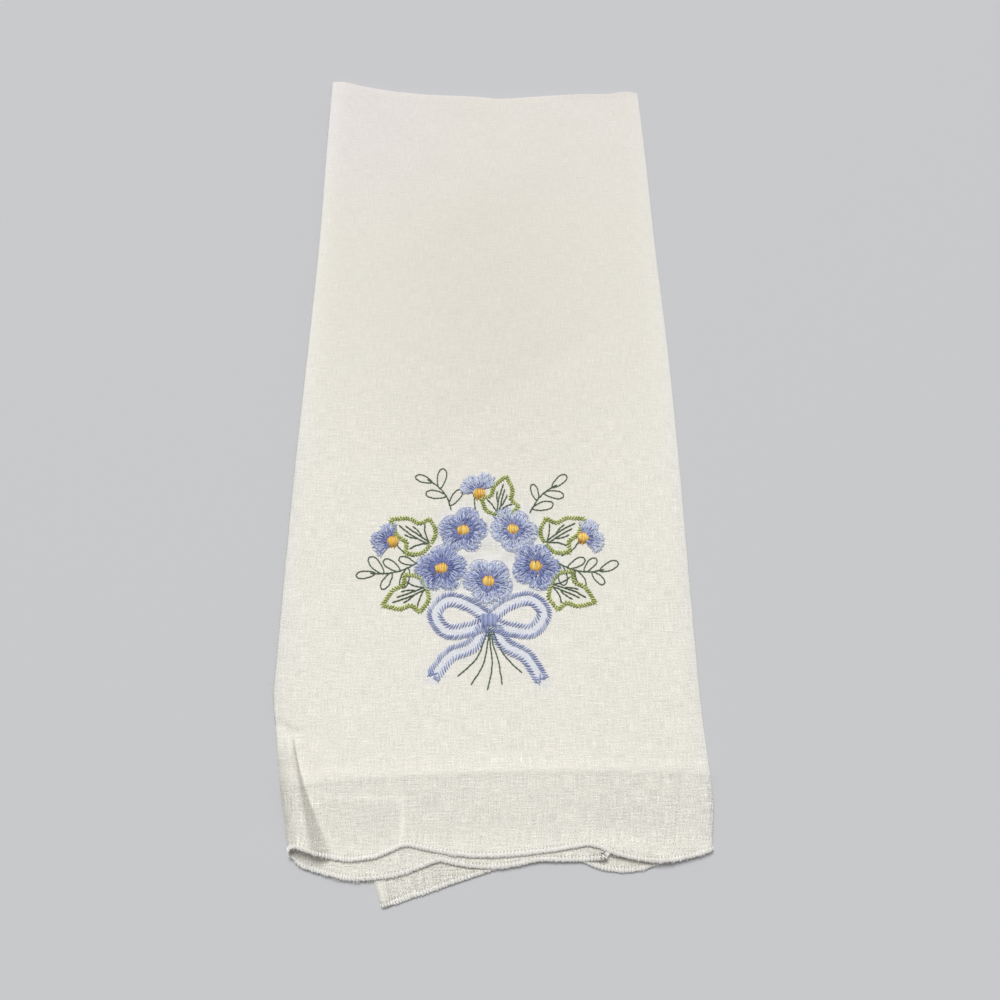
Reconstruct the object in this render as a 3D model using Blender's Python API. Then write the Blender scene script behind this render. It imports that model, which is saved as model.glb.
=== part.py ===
"""A folded linen hand towel with a scalloped hem, lying flat.

The towel is one sheet of linen. It is folded in thirds along its length, the left third
tucked behind the front and the right third, the loose one, behind that. The folded strip is
then folded once across, which makes the top edge, so that its straight end lies under its
scalloped end. From the top down the layers are front, tucked, loose, and the same three again,
face down. At the lower left the side fold has sprung open into a soft roll, and at the bottom
the loose third has swung out, so that its corner shows.

Two numbers name each point of the cloth. `across` runs over the width of the flat cloth, from
the middle of the front panel: the tucked third is at its low end, the loose third at its high
end. `level` runs along the length, and is the height on the finished outline, counted from the
straight hem up to the top edge and down again to the scalloped hem, below zero.
"""
import math
from collections import namedtuple

import bpy
import numpy as np

MM = 0.001                  # all sizes below are in millimetres

# The sheet and its stack
SHEET = 1.0                 # thickness of the linen, with the air that its weave holds
AIR = 0.3                   # the gap between two layers
PITCH = SHEET + AIR
MIDDLE = 2.5 * PITCH + 0.5 * SHEET      # height of the plane between the two halves
FRONT_RISE = 2.5 * PITCH    # the front panel's distance from that plane

# The outline of the folded towel
HALF_WIDTH = 65.0
TOP = 273.0                 # the top fold at its corners
TOP_DIP = 6.5               # the fold's middle hangs this much lower
DIP_START = 150.0           # the level from which the dip grows
TUCKED_EDGE = 30.4          # where the tucked third ends, right of the middle
LOOSE_EDGE = -34.0          # where the loose third ends, left of the middle
HEM_LEVEL = -22.0           # the scalloped hem's mean level
STRAIGHT_TILT = 0.016       # the straight hem rises to the right by this share
STRAIGHT_REACH = 30.0       # the level up to which that tilt is felt

# The side folds: the left one holds one layer, the right one goes round two
LEFT_RADIUS = 0.5 * PITCH
RIGHT_RADIUS = PITCH
FRONT_LEFT = -(HALF_WIDTH - 0.5 * SHEET - LEFT_RADIUS)
FRONT_RIGHT = HALF_WIDTH - 0.5 * SHEET - RIGHT_RADIUS
LEFT_TIP = FRONT_LEFT - 0.5 * math.pi * LEFT_RADIUS
TUCKED_END = 2.0 * FRONT_LEFT - math.pi * LEFT_RADIUS - TUCKED_EDGE
LOOSE_START = FRONT_RIGHT + math.pi * RIGHT_RADIUS
LOOSE_END = 2.0 * FRONT_RIGHT + math.pi * RIGHT_RADIUS - LOOSE_EDGE

# Where the upper half runs past the straight hem it drops onto the surface
DROP = 3.0 * PITCH
DROP_START = -1.4
DROP_RUN = 7.0

# The roll at the lower left opens from its top level down to the hem
ROLL_TOP = 24.0
ROLL_RUN = 48.0
ROLL_LEAST = 0.04

# Under the roll, the lower half's left side is drawn in as well
DRAW_IN = 7.0
DRAW_REACH = 50.0

# The loose third's free corner leans to the right
LEAN = 4.8
LEAN_TOP = -20.0
LEAN_RUN = 15.4

# Pressed linen lies a little higher in some places: this share, in waves of these lengths
SWELL = 0.035
SWELL_ACROSS = 145.0
SWELL_ALONG = 258.0

# The scalloped hem, a row for each scallop or fold, in order across the cloth.
# A row's hem runs from one level to the other and sags by its depth between them.
Scallop = namedtuple("Scallop", "name start end start_level end_level depth steps")
HEM = (
    Scallop("tucked corner", TUCKED_END, -139.0, -24.0, -24.3, 0.2, 3),
    Scallop("tucked outer", -139.0, -110.0, -24.3, -24.0, 2.8, 5),
    Scallop("tucked inner", -110.0, -76.0, -24.0, -27.1, 2.8, 7),
    Scallop("under the roll", -76.0, -68.9, -27.1, -25.0, 0.4, 3),
    Scallop("left fold", -68.9, -62.0, -25.0, -20.2, 0.0, 8),
    Scallop("over the roll", -62.0, -56.0, -20.2, -19.9, -0.2, 3),
    Scallop("front left", -56.0, -24.1, -19.9, -19.8, 4.0, 9),
    Scallop("front middle", -24.1, 30.1, -19.8, -20.3, 3.2, 10),
    Scallop("front right", 30.1, FRONT_RIGHT, -20.3, -22.0, 3.5, 7),
    Scallop("right fold", FRONT_RIGHT, LOOSE_START, -22.0, -22.4, 0.0, 5),
    Scallop("loose inner", LOOSE_START, 110.0, -22.4, -23.4, 5.1, 6),
    Scallop("loose outer", 110.0, 125.0, -23.4, -24.9, 0.0, 2),
    Scallop("loose corner", 125.0, LOOSE_END, -24.9, -35.4, 0.3, 5),
)

# The rows of the cloth along its length, a row for each stretch, in order
Stretch = namedtuple("Stretch", "name start end steps")
BACK = (
    Stretch("straight hem", 0.0, 6.0, 1),
    Stretch("back", 6.0, 240.0, 3),
    Stretch("back top", 240.0, 268.0, 2),
)
BEND_STEPS = 7
FRONT = (
    Stretch("front top", 268.0, 240.0, 2),
    Stretch("front", 240.0, 24.0, 3),
    Stretch("roll", 24.0, 0.0, 3),
    Stretch("drop", 0.0, -10.0, 5),
    Stretch("scalloped hem", -10.0, HEM_LEVEL, 3),
)

# The outline's left and right sides, which are not quite straight
Side = namedtuple("Side", "level left right")
SIDES = (
    Side(-36.0, -65.0, 63.8),
    Side(-22.0, -65.0, 63.9),
    Side(-8.0, -65.0, 65.1),
    Side(10.0, -65.0, 64.4),
    Side(50.0, -65.1, 64.8),
    Side(95.0, -65.4, 65.5),
    Side(140.0, -64.7, 65.5),
    Side(190.0, -64.6, 64.8),
    Side(240.0, -65.4, 64.7),
    Side(273.0, -66.1, 64.3),
)

# The open roll: how far the cloth lies right of and above its place in the closed fold.
# `along` is the distance round the cloth from the fold's tip, more than zero on the front.
Roll = namedtuple("Roll", "along right rise")
ROLL = (
    Roll(-60.0, 4.0, 0.0),
    Roll(-24.0, 4.4, 0.0),
    Roll(-12.0, 6.2, -1.2),
    Roll(-6.0, 7.0, -1.3),
    Roll(-2.0, 7.8, -0.9),
    Roll(2.0, 6.8, 0.9),
    Roll(5.5, 4.7, 3.5),
    Roll(9.5, 3.6, 4.3),
    Roll(13.5, 2.5, 2.4),
    Roll(17.0, 1.3, 0.1),
    Roll(20.0, 0.5, -0.4),
    Roll(24.0, 0.0, 0.0),
    Roll(40.0, 0.0, 0.0),
)

LINEN_COLOUR = (0.86, 0.84, 0.78, 1.0)
LINEN_ROUGHNESS = 0.9


def smooth_step(share):
    """Goes from 0 to 1 with level ends as the share goes from 0 to 1."""
    share = np.clip(share, 0.0, 1.0)
    return share * share * (3.0 - 2.0 * share)


def smooth_table(where, knots, values):
    """Reads the smooth curve through a table's rows: a cubic between each two knots."""
    knots = np.array(knots)
    values = np.array(values)
    slopes = np.gradient(values, knots)
    where = np.clip(where, knots[0], knots[-1])
    left = np.clip(np.searchsorted(knots, where) - 1, 0, len(knots) - 2)
    width = knots[left + 1] - knots[left]
    t = (where - knots[left]) / width
    from_start = values[left] * (1.0 + 2.0 * t) + slopes[left] * width * t
    from_end = values[left + 1] * (3.0 - 2.0 * t) - slopes[left + 1] * width * (1.0 - t)
    return from_start * (1.0 - t) ** 2 + from_end * t ** 2


def hem_columns():
    """The cloth's columns across its width, with the scalloped hem's level on each."""
    across = [HEM[0].start]
    level = [HEM[0].start_level]
    for scallop in HEM:
        share = np.arange(1, scallop.steps + 1) / scallop.steps
        across.extend(scallop.start + (scallop.end - scallop.start) * share)
        straight = scallop.start_level + (scallop.end_level - scallop.start_level) * share
        level.extend(straight - scallop.depth * 4.0 * share * (1.0 - share))
    return np.array(across), np.array(level)


def length_rows():
    """The cloth's rows from the straight hem to the scalloped one.

    Each row has a level and a turn, which goes from a half turn under the top fold to none
    on the upper half.
    """
    level = [BACK[0].start]
    turn = [math.pi]
    for stretch in BACK:
        share = np.arange(1, stretch.steps + 1) / stretch.steps
        level.extend(stretch.start + (stretch.end - stretch.start) * share)
        turn.extend([math.pi] * stretch.steps)
    for step in range(1, BEND_STEPS + 1):
        level.append(BACK[-1].end)
        turn.append(math.pi * (1.0 - step / BEND_STEPS))
    for stretch in FRONT:
        share = np.arange(1, stretch.steps + 1) / stretch.steps
        level.extend(stretch.start + (stretch.end - stretch.start) * share)
        turn.extend([0.0] * stretch.steps)
    return np.array(level), np.array(turn)


def closed_section(across):
    """The folded strip cut across: a point's distance right of the middle, and its rise.

    Straight panels joined by half circles, the left one round one layer, the right one
    round two.
    """
    left_angle = np.clip((FRONT_LEFT - across) / LEFT_RADIUS, 0.0, math.pi)
    right_angle = np.clip((across - FRONT_RIGHT) / RIGHT_RADIUS, 0.0, math.pi)
    past_left = np.maximum(FRONT_LEFT - across - math.pi * LEFT_RADIUS, 0.0)
    past_right = np.maximum(across - FRONT_RIGHT - math.pi * RIGHT_RADIUS, 0.0)
    right = np.clip(across, FRONT_LEFT, FRONT_RIGHT) + past_left - past_right
    right = right - LEFT_RADIUS * np.sin(left_angle) + RIGHT_RADIUS * np.sin(right_angle)
    left_fall = LEFT_RADIUS * (1.0 - np.cos(left_angle))
    right_fall = RIGHT_RADIUS * (1.0 - np.cos(right_angle))
    return right, FRONT_RISE - left_fall - right_fall


def section(across, opened):
    """The strip's section with its left fold opened by a share of the full roll.

    The roll keeps its form and grows with that share, so its table is read at a distance
    from the fold's tip that shrinks by it.
    """
    right, rise = closed_section(across)
    size = np.maximum(opened, ROLL_LEAST)
    along = (across - LEFT_TIP) / size
    knots = [row.along for row in ROLL]
    right = right + opened * smooth_table(along, knots, [row.right for row in ROLL])
    rise = rise + opened * smooth_table(along, knots, [row.rise for row in ROLL])
    return right, rise


def section_face(across, opened, side):
    """The section's face or reverse, half a thickness off its middle line on one side."""
    reach = 0.02
    right, rise = section(across, opened)
    right_after, rise_after = section(across + reach, opened)
    right_before, rise_before = section(across - reach, opened)
    run = right_after - right_before
    climb = rise_after - rise_before
    length = np.hypot(run, climb)
    offset = 0.5 * SHEET * side / length
    return right - climb * offset, rise + run * offset


def cloth_face(across, hem, level, turn, side):
    """Every point of one face of the folded towel, a row of points for each length row."""
    across, level = np.meshgrid(across, level)
    hem = np.broadcast_to(hem, level.shape)
    turn = np.broadcast_to(turn[:, None], level.shape)
    upper = turn == 0.0

    opened = smooth_step((ROLL_TOP - level) / ROLL_RUN)
    right, rise = section_face(across, np.where(upper, opened, 0.0), side)
    near_side = smooth_step((DRAW_REACH - HALF_WIDTH - right) / DRAW_REACH) * ~upper
    right = right + DRAW_IN * opened * near_side

    # the hems' own outlines, and the top fold's dip
    hem_start = FRONT[-1].start
    hem_share = np.clip((hem_start - level) / (hem_start - HEM_LEVEL), 0.0, 1.0)
    forward = level + hem_share * (hem - HEM_LEVEL)
    straight_share = np.clip(1.0 - level / STRAIGHT_REACH, 0.0, 1.0) * ~upper
    forward = forward + straight_share * STRAIGHT_TILT * right
    fold_line = BACK[-1].end
    dip_share = smooth_step((level - DIP_START) / (fold_line - DIP_START))
    dip = TOP_DIP * np.cos(0.5 * math.pi * right / HALF_WIDTH) ** 2
    corner = TOP - FRONT_RISE - 0.5 * SHEET - fold_line
    forward = forward + dip_share * (corner - dip) + rise * np.sin(turn)

    # the loose third's lean, growing from the right fold to its free edge
    loose = np.clip((across - LOOSE_START) / (LOOSE_END - LOOSE_START), 0.0, 1.0) * upper
    lean = np.clip((LEAN_TOP - forward) / LEAN_RUN, 0.0, 1.0) ** 1.5
    right = right + LEAN * loose ** 3 * lean

    # the drop past the straight hem, and the uneven sides
    drop = DROP * smooth_step((DROP_START - forward) / DROP_RUN) * upper
    height = MIDDLE + rise * np.cos(turn) - drop
    side_levels = [row.level for row in SIDES]
    left_side = smooth_table(forward, side_levels, [row.left for row in SIDES])
    right_side = smooth_table(forward, side_levels, [row.right for row in SIDES])
    share = (right + HALF_WIDTH) / (2.0 * HALF_WIDTH)
    right = left_side + (right_side - left_side) * share

    full_turn = 2.0 * math.pi
    waves = np.sin(full_turn * right / SWELL_ACROSS) * np.sin(full_turn * forward / SWELL_ALONG)
    height = height * (1.0 + SWELL * waves)
    return np.stack([right, forward, height], axis=2)


def sheet_mesh(name, face, reverse):
    """One closed sheet between its two faces, with a strip of faces round its edge."""
    rows, columns = face.shape[:2]
    points = np.concatenate([face.reshape(-1, 3), reverse.reshape(-1, 3)])
    index = np.arange(rows * columns).reshape(rows, columns)
    under = index + rows * columns

    def quads(a, b, c, d):
        return np.stack([a, b, c, d], axis=-1).reshape(-1, 4).tolist()

    faces = quads(index[:-1, :-1], index[1:, :-1], index[1:, 1:], index[:-1, 1:])
    faces += quads(under[:-1, :-1], under[:-1, 1:], under[1:, 1:], under[1:, :-1])
    faces += quads(index[0, :-1], index[0, 1:], under[0, 1:], under[0, :-1])
    faces += quads(index[-1, 1:], index[-1, :-1], under[-1, :-1], under[-1, 1:])
    faces += quads(index[1:, 0], index[:-1, 0], under[:-1, 0], under[1:, 0])
    faces += quads(index[:-1, -1], index[1:, -1], under[1:, -1], under[:-1, -1])
    mesh = bpy.data.meshes.new(name)
    mesh.from_pydata((points * MM).tolist(), [], faces)
    mesh.update()
    mesh.shade_smooth()
    mesh.set_sharp_from_angle(angle=math.radians(50.0))
    return mesh


def linen_material():
    """Off-white plain-woven linen."""
    material = bpy.data.materials.new("linen")
    material.use_nodes = True
    shader = material.node_tree.nodes["Principled BSDF"]
    shader.inputs["Base Color"].default_value = LINEN_COLOUR
    shader.inputs["Roughness"].default_value = LINEN_ROUGHNESS
    shader.inputs["Metallic"].default_value = 0.0
    return material


def fold_towel():
    """The whole towel, with the bottom centre of its box at the origin."""
    across, hem = hem_columns()
    level, turn = length_rows()
    face = cloth_face(across, hem, level, turn, 1.0)
    reverse = cloth_face(across, hem, level, turn, -1.0)
    everything = np.concatenate([face.reshape(-1, 3), reverse.reshape(-1, 3)])
    low, high = everything.min(axis=0), everything.max(axis=0)
    centre = np.array([0.5 * (low[0] + high[0]), 0.5 * (low[1] + high[1]), low[2]])
    mesh = sheet_mesh("linen_towel", face - centre, reverse - centre)
    mesh.materials.append(linen_material())
    towel = bpy.data.objects.new("linen_towel", mesh)
    bpy.context.scene.collection.objects.link(towel)
    return towel


for old in list(bpy.data.objects):
    bpy.data.objects.remove(old, do_unlink=True)
fold_towel()
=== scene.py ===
"""A folded linen hand towel with a scalloped, overlocked hem and an embroidered posy.

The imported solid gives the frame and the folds. Here one thin sheet of linen, laid in the same
folds, stands for it, and the overlocked edge and the embroidery are worked on that sheet in
thread, stitch by stitch.

Two numbers name each point of the cloth, in millimetres: `across` runs over the width of the
flat cloth from the front panel's middle, and `forward` along the folded towel from the straight
hem up to the top fold. `turn` is half a turn on the half that lies underneath, and 0 on top.
"""
import math
from collections import namedtuple

import bpy
import numpy as np
from mathutils import Matrix, Vector


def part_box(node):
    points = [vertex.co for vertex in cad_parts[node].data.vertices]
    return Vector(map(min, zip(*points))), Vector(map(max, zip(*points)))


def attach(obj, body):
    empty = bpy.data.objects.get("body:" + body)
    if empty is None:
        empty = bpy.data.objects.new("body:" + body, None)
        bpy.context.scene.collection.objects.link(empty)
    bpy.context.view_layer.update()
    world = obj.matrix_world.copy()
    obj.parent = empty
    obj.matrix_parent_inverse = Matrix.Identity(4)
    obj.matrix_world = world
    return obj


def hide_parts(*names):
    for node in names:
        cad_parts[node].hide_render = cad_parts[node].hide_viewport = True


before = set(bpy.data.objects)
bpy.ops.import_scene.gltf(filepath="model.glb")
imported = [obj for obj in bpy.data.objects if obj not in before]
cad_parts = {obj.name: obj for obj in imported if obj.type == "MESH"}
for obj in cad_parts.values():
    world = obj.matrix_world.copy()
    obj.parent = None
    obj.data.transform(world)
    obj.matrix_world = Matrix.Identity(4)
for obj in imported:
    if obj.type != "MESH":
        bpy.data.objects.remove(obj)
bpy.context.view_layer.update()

# ---------------------------------------------------------------------------------------------
# The camera. It stands over the towel's foot, looks steeply down along it, and is turned and
# rolled a little to the right, as the photograph is. Its place is from the towel's bottom centre.
CAMERA_PLACE = Vector((-0.0071, -0.1246, 0.2333))
CAMERA_DOWN = math.radians(68.58)
CAMERA_TURN = math.radians(6.68)
CAMERA_ROLL = math.radians(6.66)
LENS_MM = 27.04
SENSOR_MM = 36.0
NEAR_CLIP = 0.01

lens = bpy.data.cameras.new("camera")
lens.lens = LENS_MM
lens.sensor_width = SENSOR_MM
lens.clip_start = NEAR_CLIP
camera = bpy.data.objects.new("camera", lens)
facing = (Matrix.Rotation(-CAMERA_TURN, 4, "Z")
          @ Matrix.Rotation(math.radians(90.0) - CAMERA_DOWN, 4, "X")
          @ Matrix.Rotation(CAMERA_ROLL, 4, "Z"))
camera.matrix_world = Matrix.Translation(CAMERA_PLACE) @ facing
bpy.context.scene.collection.objects.link(camera)
bpy.context.scene.camera = camera

# ---------------------------------------------------------------------------------------------
# The linen. One rectangle of plain-woven off-white linen, about 325 by 575 mm, folded in thirds
# along its length and once across. Three of its edges are turned in narrowly and sewn; the
# fourth, under the embroidery, is cut in scallops and overlocked.
MM = 0.001
SHEET = 0.34                # the linen's thickness
AIR = 0.16                  # the gap between two layers
PITCH = SHEET + AIR
FLOOR_GAP = 0.10            # the gap under the lowest layer
FRONT_RISE = 2.5 * PITCH    # from the plane between the two halves up to the front panel
MIDDLE = FRONT_RISE + 0.5 * SHEET + FLOOR_GAP

HALF_WIDTH = 65.0
TOP = 271.2                 # the top fold at its left corner
SOLID_TOP = 273.0           # the same on the solid, whose layers lie further apart
FOLD_LINE = 268.0           # where the cloth starts to bend over the top
SLOPE_REACH = 0.02          # how far to each side the folded strip's slope is read
DIP_START = 150.0           # from here up the rows bend towards the top fold's dip
TUCKED_EDGE = 30.4          # how far right the tucked third reaches behind the front,
LOOSE_EDGE = -34.0          # and how far left the loose third does
HEM_LEVEL = -22.0           # the rows end here, before the scallops shift them
HEM_START = -10.0           # from here down the rows bend towards the scallops
STRAIGHT_MIDDLE = 0.35      # the straight hem's level at the middle; it lies askew and bowed
STRAIGHT_TILT = 0.0216
STRAIGHT_BOW = 0.00065
STRAIGHT_REACH = 30.0       # up to here the back's rows follow it

LEFT_RADIUS = 0.5 * PITCH
RIGHT_RADIUS = PITCH
FRONT_LEFT = -(HALF_WIDTH - 0.5 * SHEET - LEFT_RADIUS)
FRONT_RIGHT = HALF_WIDTH - 0.5 * SHEET - RIGHT_RADIUS
LEFT_TIP = FRONT_LEFT - 0.5 * math.pi * LEFT_RADIUS
TUCKED_END = 2.0 * FRONT_LEFT - math.pi * LEFT_RADIUS - TUCKED_EDGE
LOOSE_START = FRONT_RIGHT + math.pi * RIGHT_RADIUS
LOOSE_END = 2.0 * FRONT_RIGHT + math.pi * RIGHT_RADIUS - LOOSE_EDGE

DROP = 3.0 * PITCH          # past the straight hem the upper half lies on the surface
DROP_START = -0.4           # where it starts to fall, from the straight hem's level
DROP_RUN = 19.0             # and over what length it does
DROP_STEP = 0.09            # the share of it that falls at once
DROP_STEP_RUN = 1.8
HEM_LIFT = 0.28             # the overlocked edge is thicker than the cloth and lifts it
HEM_LIFT_RUN = 4.0
LEAN = 4.8                  # how far the loose third's corner leans to the right
LEAN_TOP = -20.0            # from here down, over this length
LEAN_RUN = 15.4
SWELL = 0.035               # slow waves in the folded towel's thickness, and their lengths
SWELL_ACROSS = 145.0
SWELL_ALONG = 258.0
PRESSED = 0.20              # how much thinner the folded towel is at its sides
PRESSED_RUN = 2.4
PRESSED_FADE = 25.0         # it fades out over this length above the hem
CURL = 1.5                  # how far the tucked corner curls up at the hem, and outwards
CURL_OUT = 0.7
CURL_START = -20.9          # from here down, over this length
CURL_RUN = 1.8
CURL_REACH = 2.6            # and this far in from the third's edge
TURNED_HEM = 3.3            # width of the narrow turned hems
TURNED_STEP = 0.25          # how quickly their edge falls
TURNED_THICK = 0.20         # what the turning adds on the reverse

# The roll that the left fold opens into towards the foot
DRAWN_IN = 8.5              # how far the fold's tip is drawn in at the foot
DRAWN_TOP = 22.0            # from here down, over this length
DRAWN_RUN = 42.0
DRAWN_UNDER = 0.49          # the share of it that is left in the tucked third
DRAWN_UNDER_REACH = 24.0
BACK_DRAWN_IN = 9.0         # the same for the half underneath, and how far in it is felt
BACK_REACH = 50.0
ROLL_TOP = 10.0             # where the roll begins, and the length over which it grows
ROLL_RUN = 30.0
BULGE = 5.0                 # its rounded side, from the tip to the crest
BULGE_GROWS = 1.5           # how much wider that gets
ROLL_RISE = 4.3             # how high the crest gets
FACET = 5.2                 # its steep side, from the crest down to the front
ROLL_REACH = 40.0           # the front lies where it did this far from the tip

# The scalloped edge, from the tucked third's edge to the loose one's: how far each part of it
# goes, the level that it ends at, and how far it sags below a straight line on its way
Scallop = namedtuple("Scallop", "name end level depth")
SCALLOPS = (
    Scallop("its start", TUCKED_END, -19.6, 0.0),
    Scallop("tucked side", TUCKED_END + 0.45, -22.6, 0.2),
    Scallop("tucked corner", TUCKED_END + 2.2, -23.8, 0.5),
    Scallop("tucked tip", -139.0, -23.8, 0.2),
    Scallop("tucked outer", -111.4, -23.3, 2.1),
    Scallop("tucked inner", -77.4, -26.4, 3.1),
    Scallop("under the roll", -70.2, -24.9, 0.15),
    Scallop("round the fold", LEFT_TIP, -21.5, 0.85),
    Scallop("up the roll", -59.8, -19.4, -0.3),
    Scallop("over the crest", -56.2, -21.0, -0.1),
    Scallop("front left", -25.2, -19.85, 2.8),
    Scallop("left point", -21.8, -19.7, -0.2),
    Scallop("front middle, falling", -3.0, -22.75, 0.45),
    Scallop("front middle, rising", 27.0, -20.2, 0.6),
    Scallop("right point", 31.5, -20.5, -0.25),
    Scallop("front right", FRONT_RIGHT, -21.8, 3.3),
    Scallop("right fold", 74.0, -21.5, -0.4),
    Scallop("loose inner", 107.5, -21.9, 5.3),
    Scallop("loose outer", 125.0, -24.9, 0.0),
    Scallop("loose corner", LOOSE_END, -35.0, 0.3),
)
SCALLOP_ROUNDING = 1.0      # how far to each side its points are rounded

# The outline's left and right sides at some levels
Side = namedtuple("Side", "level left right")
SIDES = (
    Side(-36.0, -64.6, 63.0),
    Side(-22.0, -64.6, 63.2),
    Side(-10.0, -64.6, 64.5),
    Side(0.0, -64.6, 64.3),
    Side(14.0, -64.6, 63.9),
    Side(50.0, -64.8, 64.1),
    Side(95.0, -64.9, 64.8),
    Side(140.0, -64.4, 65.0),
    Side(190.0, -64.1, 64.2),
    Side(235.0, -64.8, 64.0),
    Side(271.0, -65.1, 63.4),
)

# How far the top fold falls short of its left corner, over the width
Dip = namedtuple("Dip", "right fall")
DIPS = (
    Dip(-65.0, 0.0),
    Dip(-60.0, 0.4),
    Dip(-52.0, 2.4),
    Dip(-40.0, 4.6),
    Dip(-29.0, 5.8),
    Dip(-4.0, 6.5),
    Dip(6.0, 7.2),
    Dip(16.0, 6.0),
    Dip(40.0, 3.2),
    Dip(52.0, 2.5),
    Dip(60.0, 0.9),
    Dip(65.0, 1.1),
)

# The grid's columns over the flat cloth from the tucked third's edge, its rows up the back from
# the straight hem, and its rows down the front: where each stretch of them ends
Stretch = namedtuple("Stretch", "name end steps")
COLUMNS = (
    Stretch("tucked corner", TUCKED_END + 0.5, 4),
    Stretch("tucked hem", TUCKED_END + TURNED_HEM - TURNED_STEP, 8),
    Stretch("tucked hem's edge", TUCKED_END + TURNED_HEM, 1),
    Stretch("tucked third", -100.0, 14),
    Stretch("under the roll", -74.0, 16),
    Stretch("left fold", -44.0, 46),
    Stretch("front", FRONT_RIGHT, 80),
    Stretch("right fold", LOOSE_START, 8),
    Stretch("loose third", LOOSE_END - TURNED_HEM, 28),
    Stretch("loose hem's edge", LOOSE_END - TURNED_HEM + TURNED_STEP, 1),
    Stretch("loose hem", LOOSE_END, 2),
)
BACK_ROWS = (
    Stretch("straight hem", TURNED_HEM - TURNED_STEP, 2),
    Stretch("straight hem's edge", TURNED_HEM, 1),
    Stretch("back", 240.0, 22),
    Stretch("back top", FOLD_LINE, 8),
)
BEND_STEPS = 12
FRONT_ROWS = (
    Stretch("front top", 240.0, 8),
    Stretch("front", 110.0, 36),
    Stretch("embroidered part", 24.0, 66),
    Stretch("above the hem", 4.0, 20),
    Stretch("over the straight hem", HEM_START, 22),
    Stretch("scalloped hem", HEM_LEVEL, 14),
)

# Soft ridges and troughs left by pressing and folding, and the lines that the layers behind
# print through: between two points of the front, a width, and a rise
Crease = namedtuple("Crease", "name right forward to_right to_forward width rise")
CREASES = (
    Crease("long diagonal", -24.0, 101.0, 38.0, 150.0, 7.0, -0.30),
    Crease("upper diagonal", -30.0, 190.0, 20.0, 232.0, 11.0, 0.22),
    Crease("under the posy", -19.0, 15.5, 2.0, 4.5, 1.6, -0.22),
    Crease("by the left edge", -47.0, 35.0, -52.0, 90.0, 3.5, 0.20),
    Crease("over the roll", -56.5, 10.5, -62.5, 13.5, 1.0, -0.50),
    Crease("over the tucked corner", 34.5, -20.0, 51.0, -23.4, 3.0, 0.80),
    Crease("right block", 42.0, -4.0, 47.0, -17.0, 3.0, 0.25),
    Crease("right block, far", 57.0, -3.0, 54.0, -16.0, 2.5, -0.25),
    Crease("tucked edge", 30.0, -20.0, 31.5, 60.0, 0.8, 0.08),
    Crease("straight hem's turning", -62.0, -1.3, 63.0, 1.0, 1.6, 0.14),
    Crease("left of the posy", -57.0, 60.0, -44.0, 28.0, 4.0, -0.22),
    Crease("right of the posy", 45.0, 90.0, 58.0, 52.0, 5.0, 0.22),
)
# Pale lines that were pressed in, and edges behind that print through, as painted highlights on
# their ridges: here the last number is how much lighter the cloth looks
PRESSED_HIGHLIGHTS = (
    Crease("low and level", -46.0, -6.6, -25.0, -7.0, 0.7, 0.090),
    Crease("low and upright", -25.6, -7.8, -24.6, -18.5, 0.6, 0.160),
    Crease("right block, upright", 51.5, -2.0, 50.5, -16.0, 0.7, 0.080),
    Crease("above the band", -36.0, 3.9, 60.0, 6.0, 0.8, 0.020),
)
TUCKED_SINK = 0.12          # the front lies this much lower where no tucked third is behind it
TUCKED_SINK_RUN = 3.0       # within this length of that third's edge

# The posy's five round blossoms, which the cloth puckers round: places from the posy's middle
POSY_LEVEL = 58.0
Blossom = namedtuple("Blossom", "name right up size turn pale")
BLOSSOMS = (
    Blossom("left", -15.2, 2.6, 8.1, 0.3, -0.06),
    Blossom("right", 15.0, 3.4, 8.0, 1.1, -0.02),
    Blossom("middle", -0.2, -1.6, 7.9, 0.75, 0.20),
    Blossom("upper left", -8.4, 15.4, 7.9, 0.2, 0.02),
    Blossom("upper right", 7.8, 15.8, 7.7, 0.95, 0.26),
)
PUCKER = 0.16               # height of the ripples in the ring of puckers round each
PUCKER_RIPPLES = 7.0
PUCKER_SINK = 0.8           # how far the ring lies low, as a share of that height
PUCKER_REACH = 1.22         # the ring's radius and width, in blossoms' sizes
PUCKER_WIDTH = 0.26

towel_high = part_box("linen_towel")[1]
UP_THE_FRAME = towel_high[1] / MM - SOLID_TOP     # the frame's y at the straight hem, in mm


def smooth_step(share):
    """Goes from 0 to 1 with level ends as the share goes from 0 to 1."""
    share = np.clip(share, 0.0, 1.0)
    return share * share * (3.0 - 2.0 * share)


def bell(away, reach):
    """1 in the middle and less to both sides: e to the minus square of away over reach."""
    return np.exp(-(away / reach) ** 2)


def smooth_table(where, knots, values):
    """Reads the smooth curve through a table's rows: a cubic between each two knots."""
    knots = np.array(knots)
    values = np.array(values)
    slopes = np.gradient(values, knots)
    where = np.clip(where, knots[0], knots[-1])
    left = np.clip(np.searchsorted(knots, where) - 1, 0, len(knots) - 2)
    width = knots[left + 1] - knots[left]
    t = (where - knots[left]) / width
    from_start = values[left] * (1.0 + 2.0 * t) + slopes[left] * width * t
    from_end = values[left + 1] * (3.0 - 2.0 * t) - slopes[left + 1] * width * (1.0 - t)
    return from_start * (1.0 - t) ** 2 + from_end * t ** 2


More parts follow.
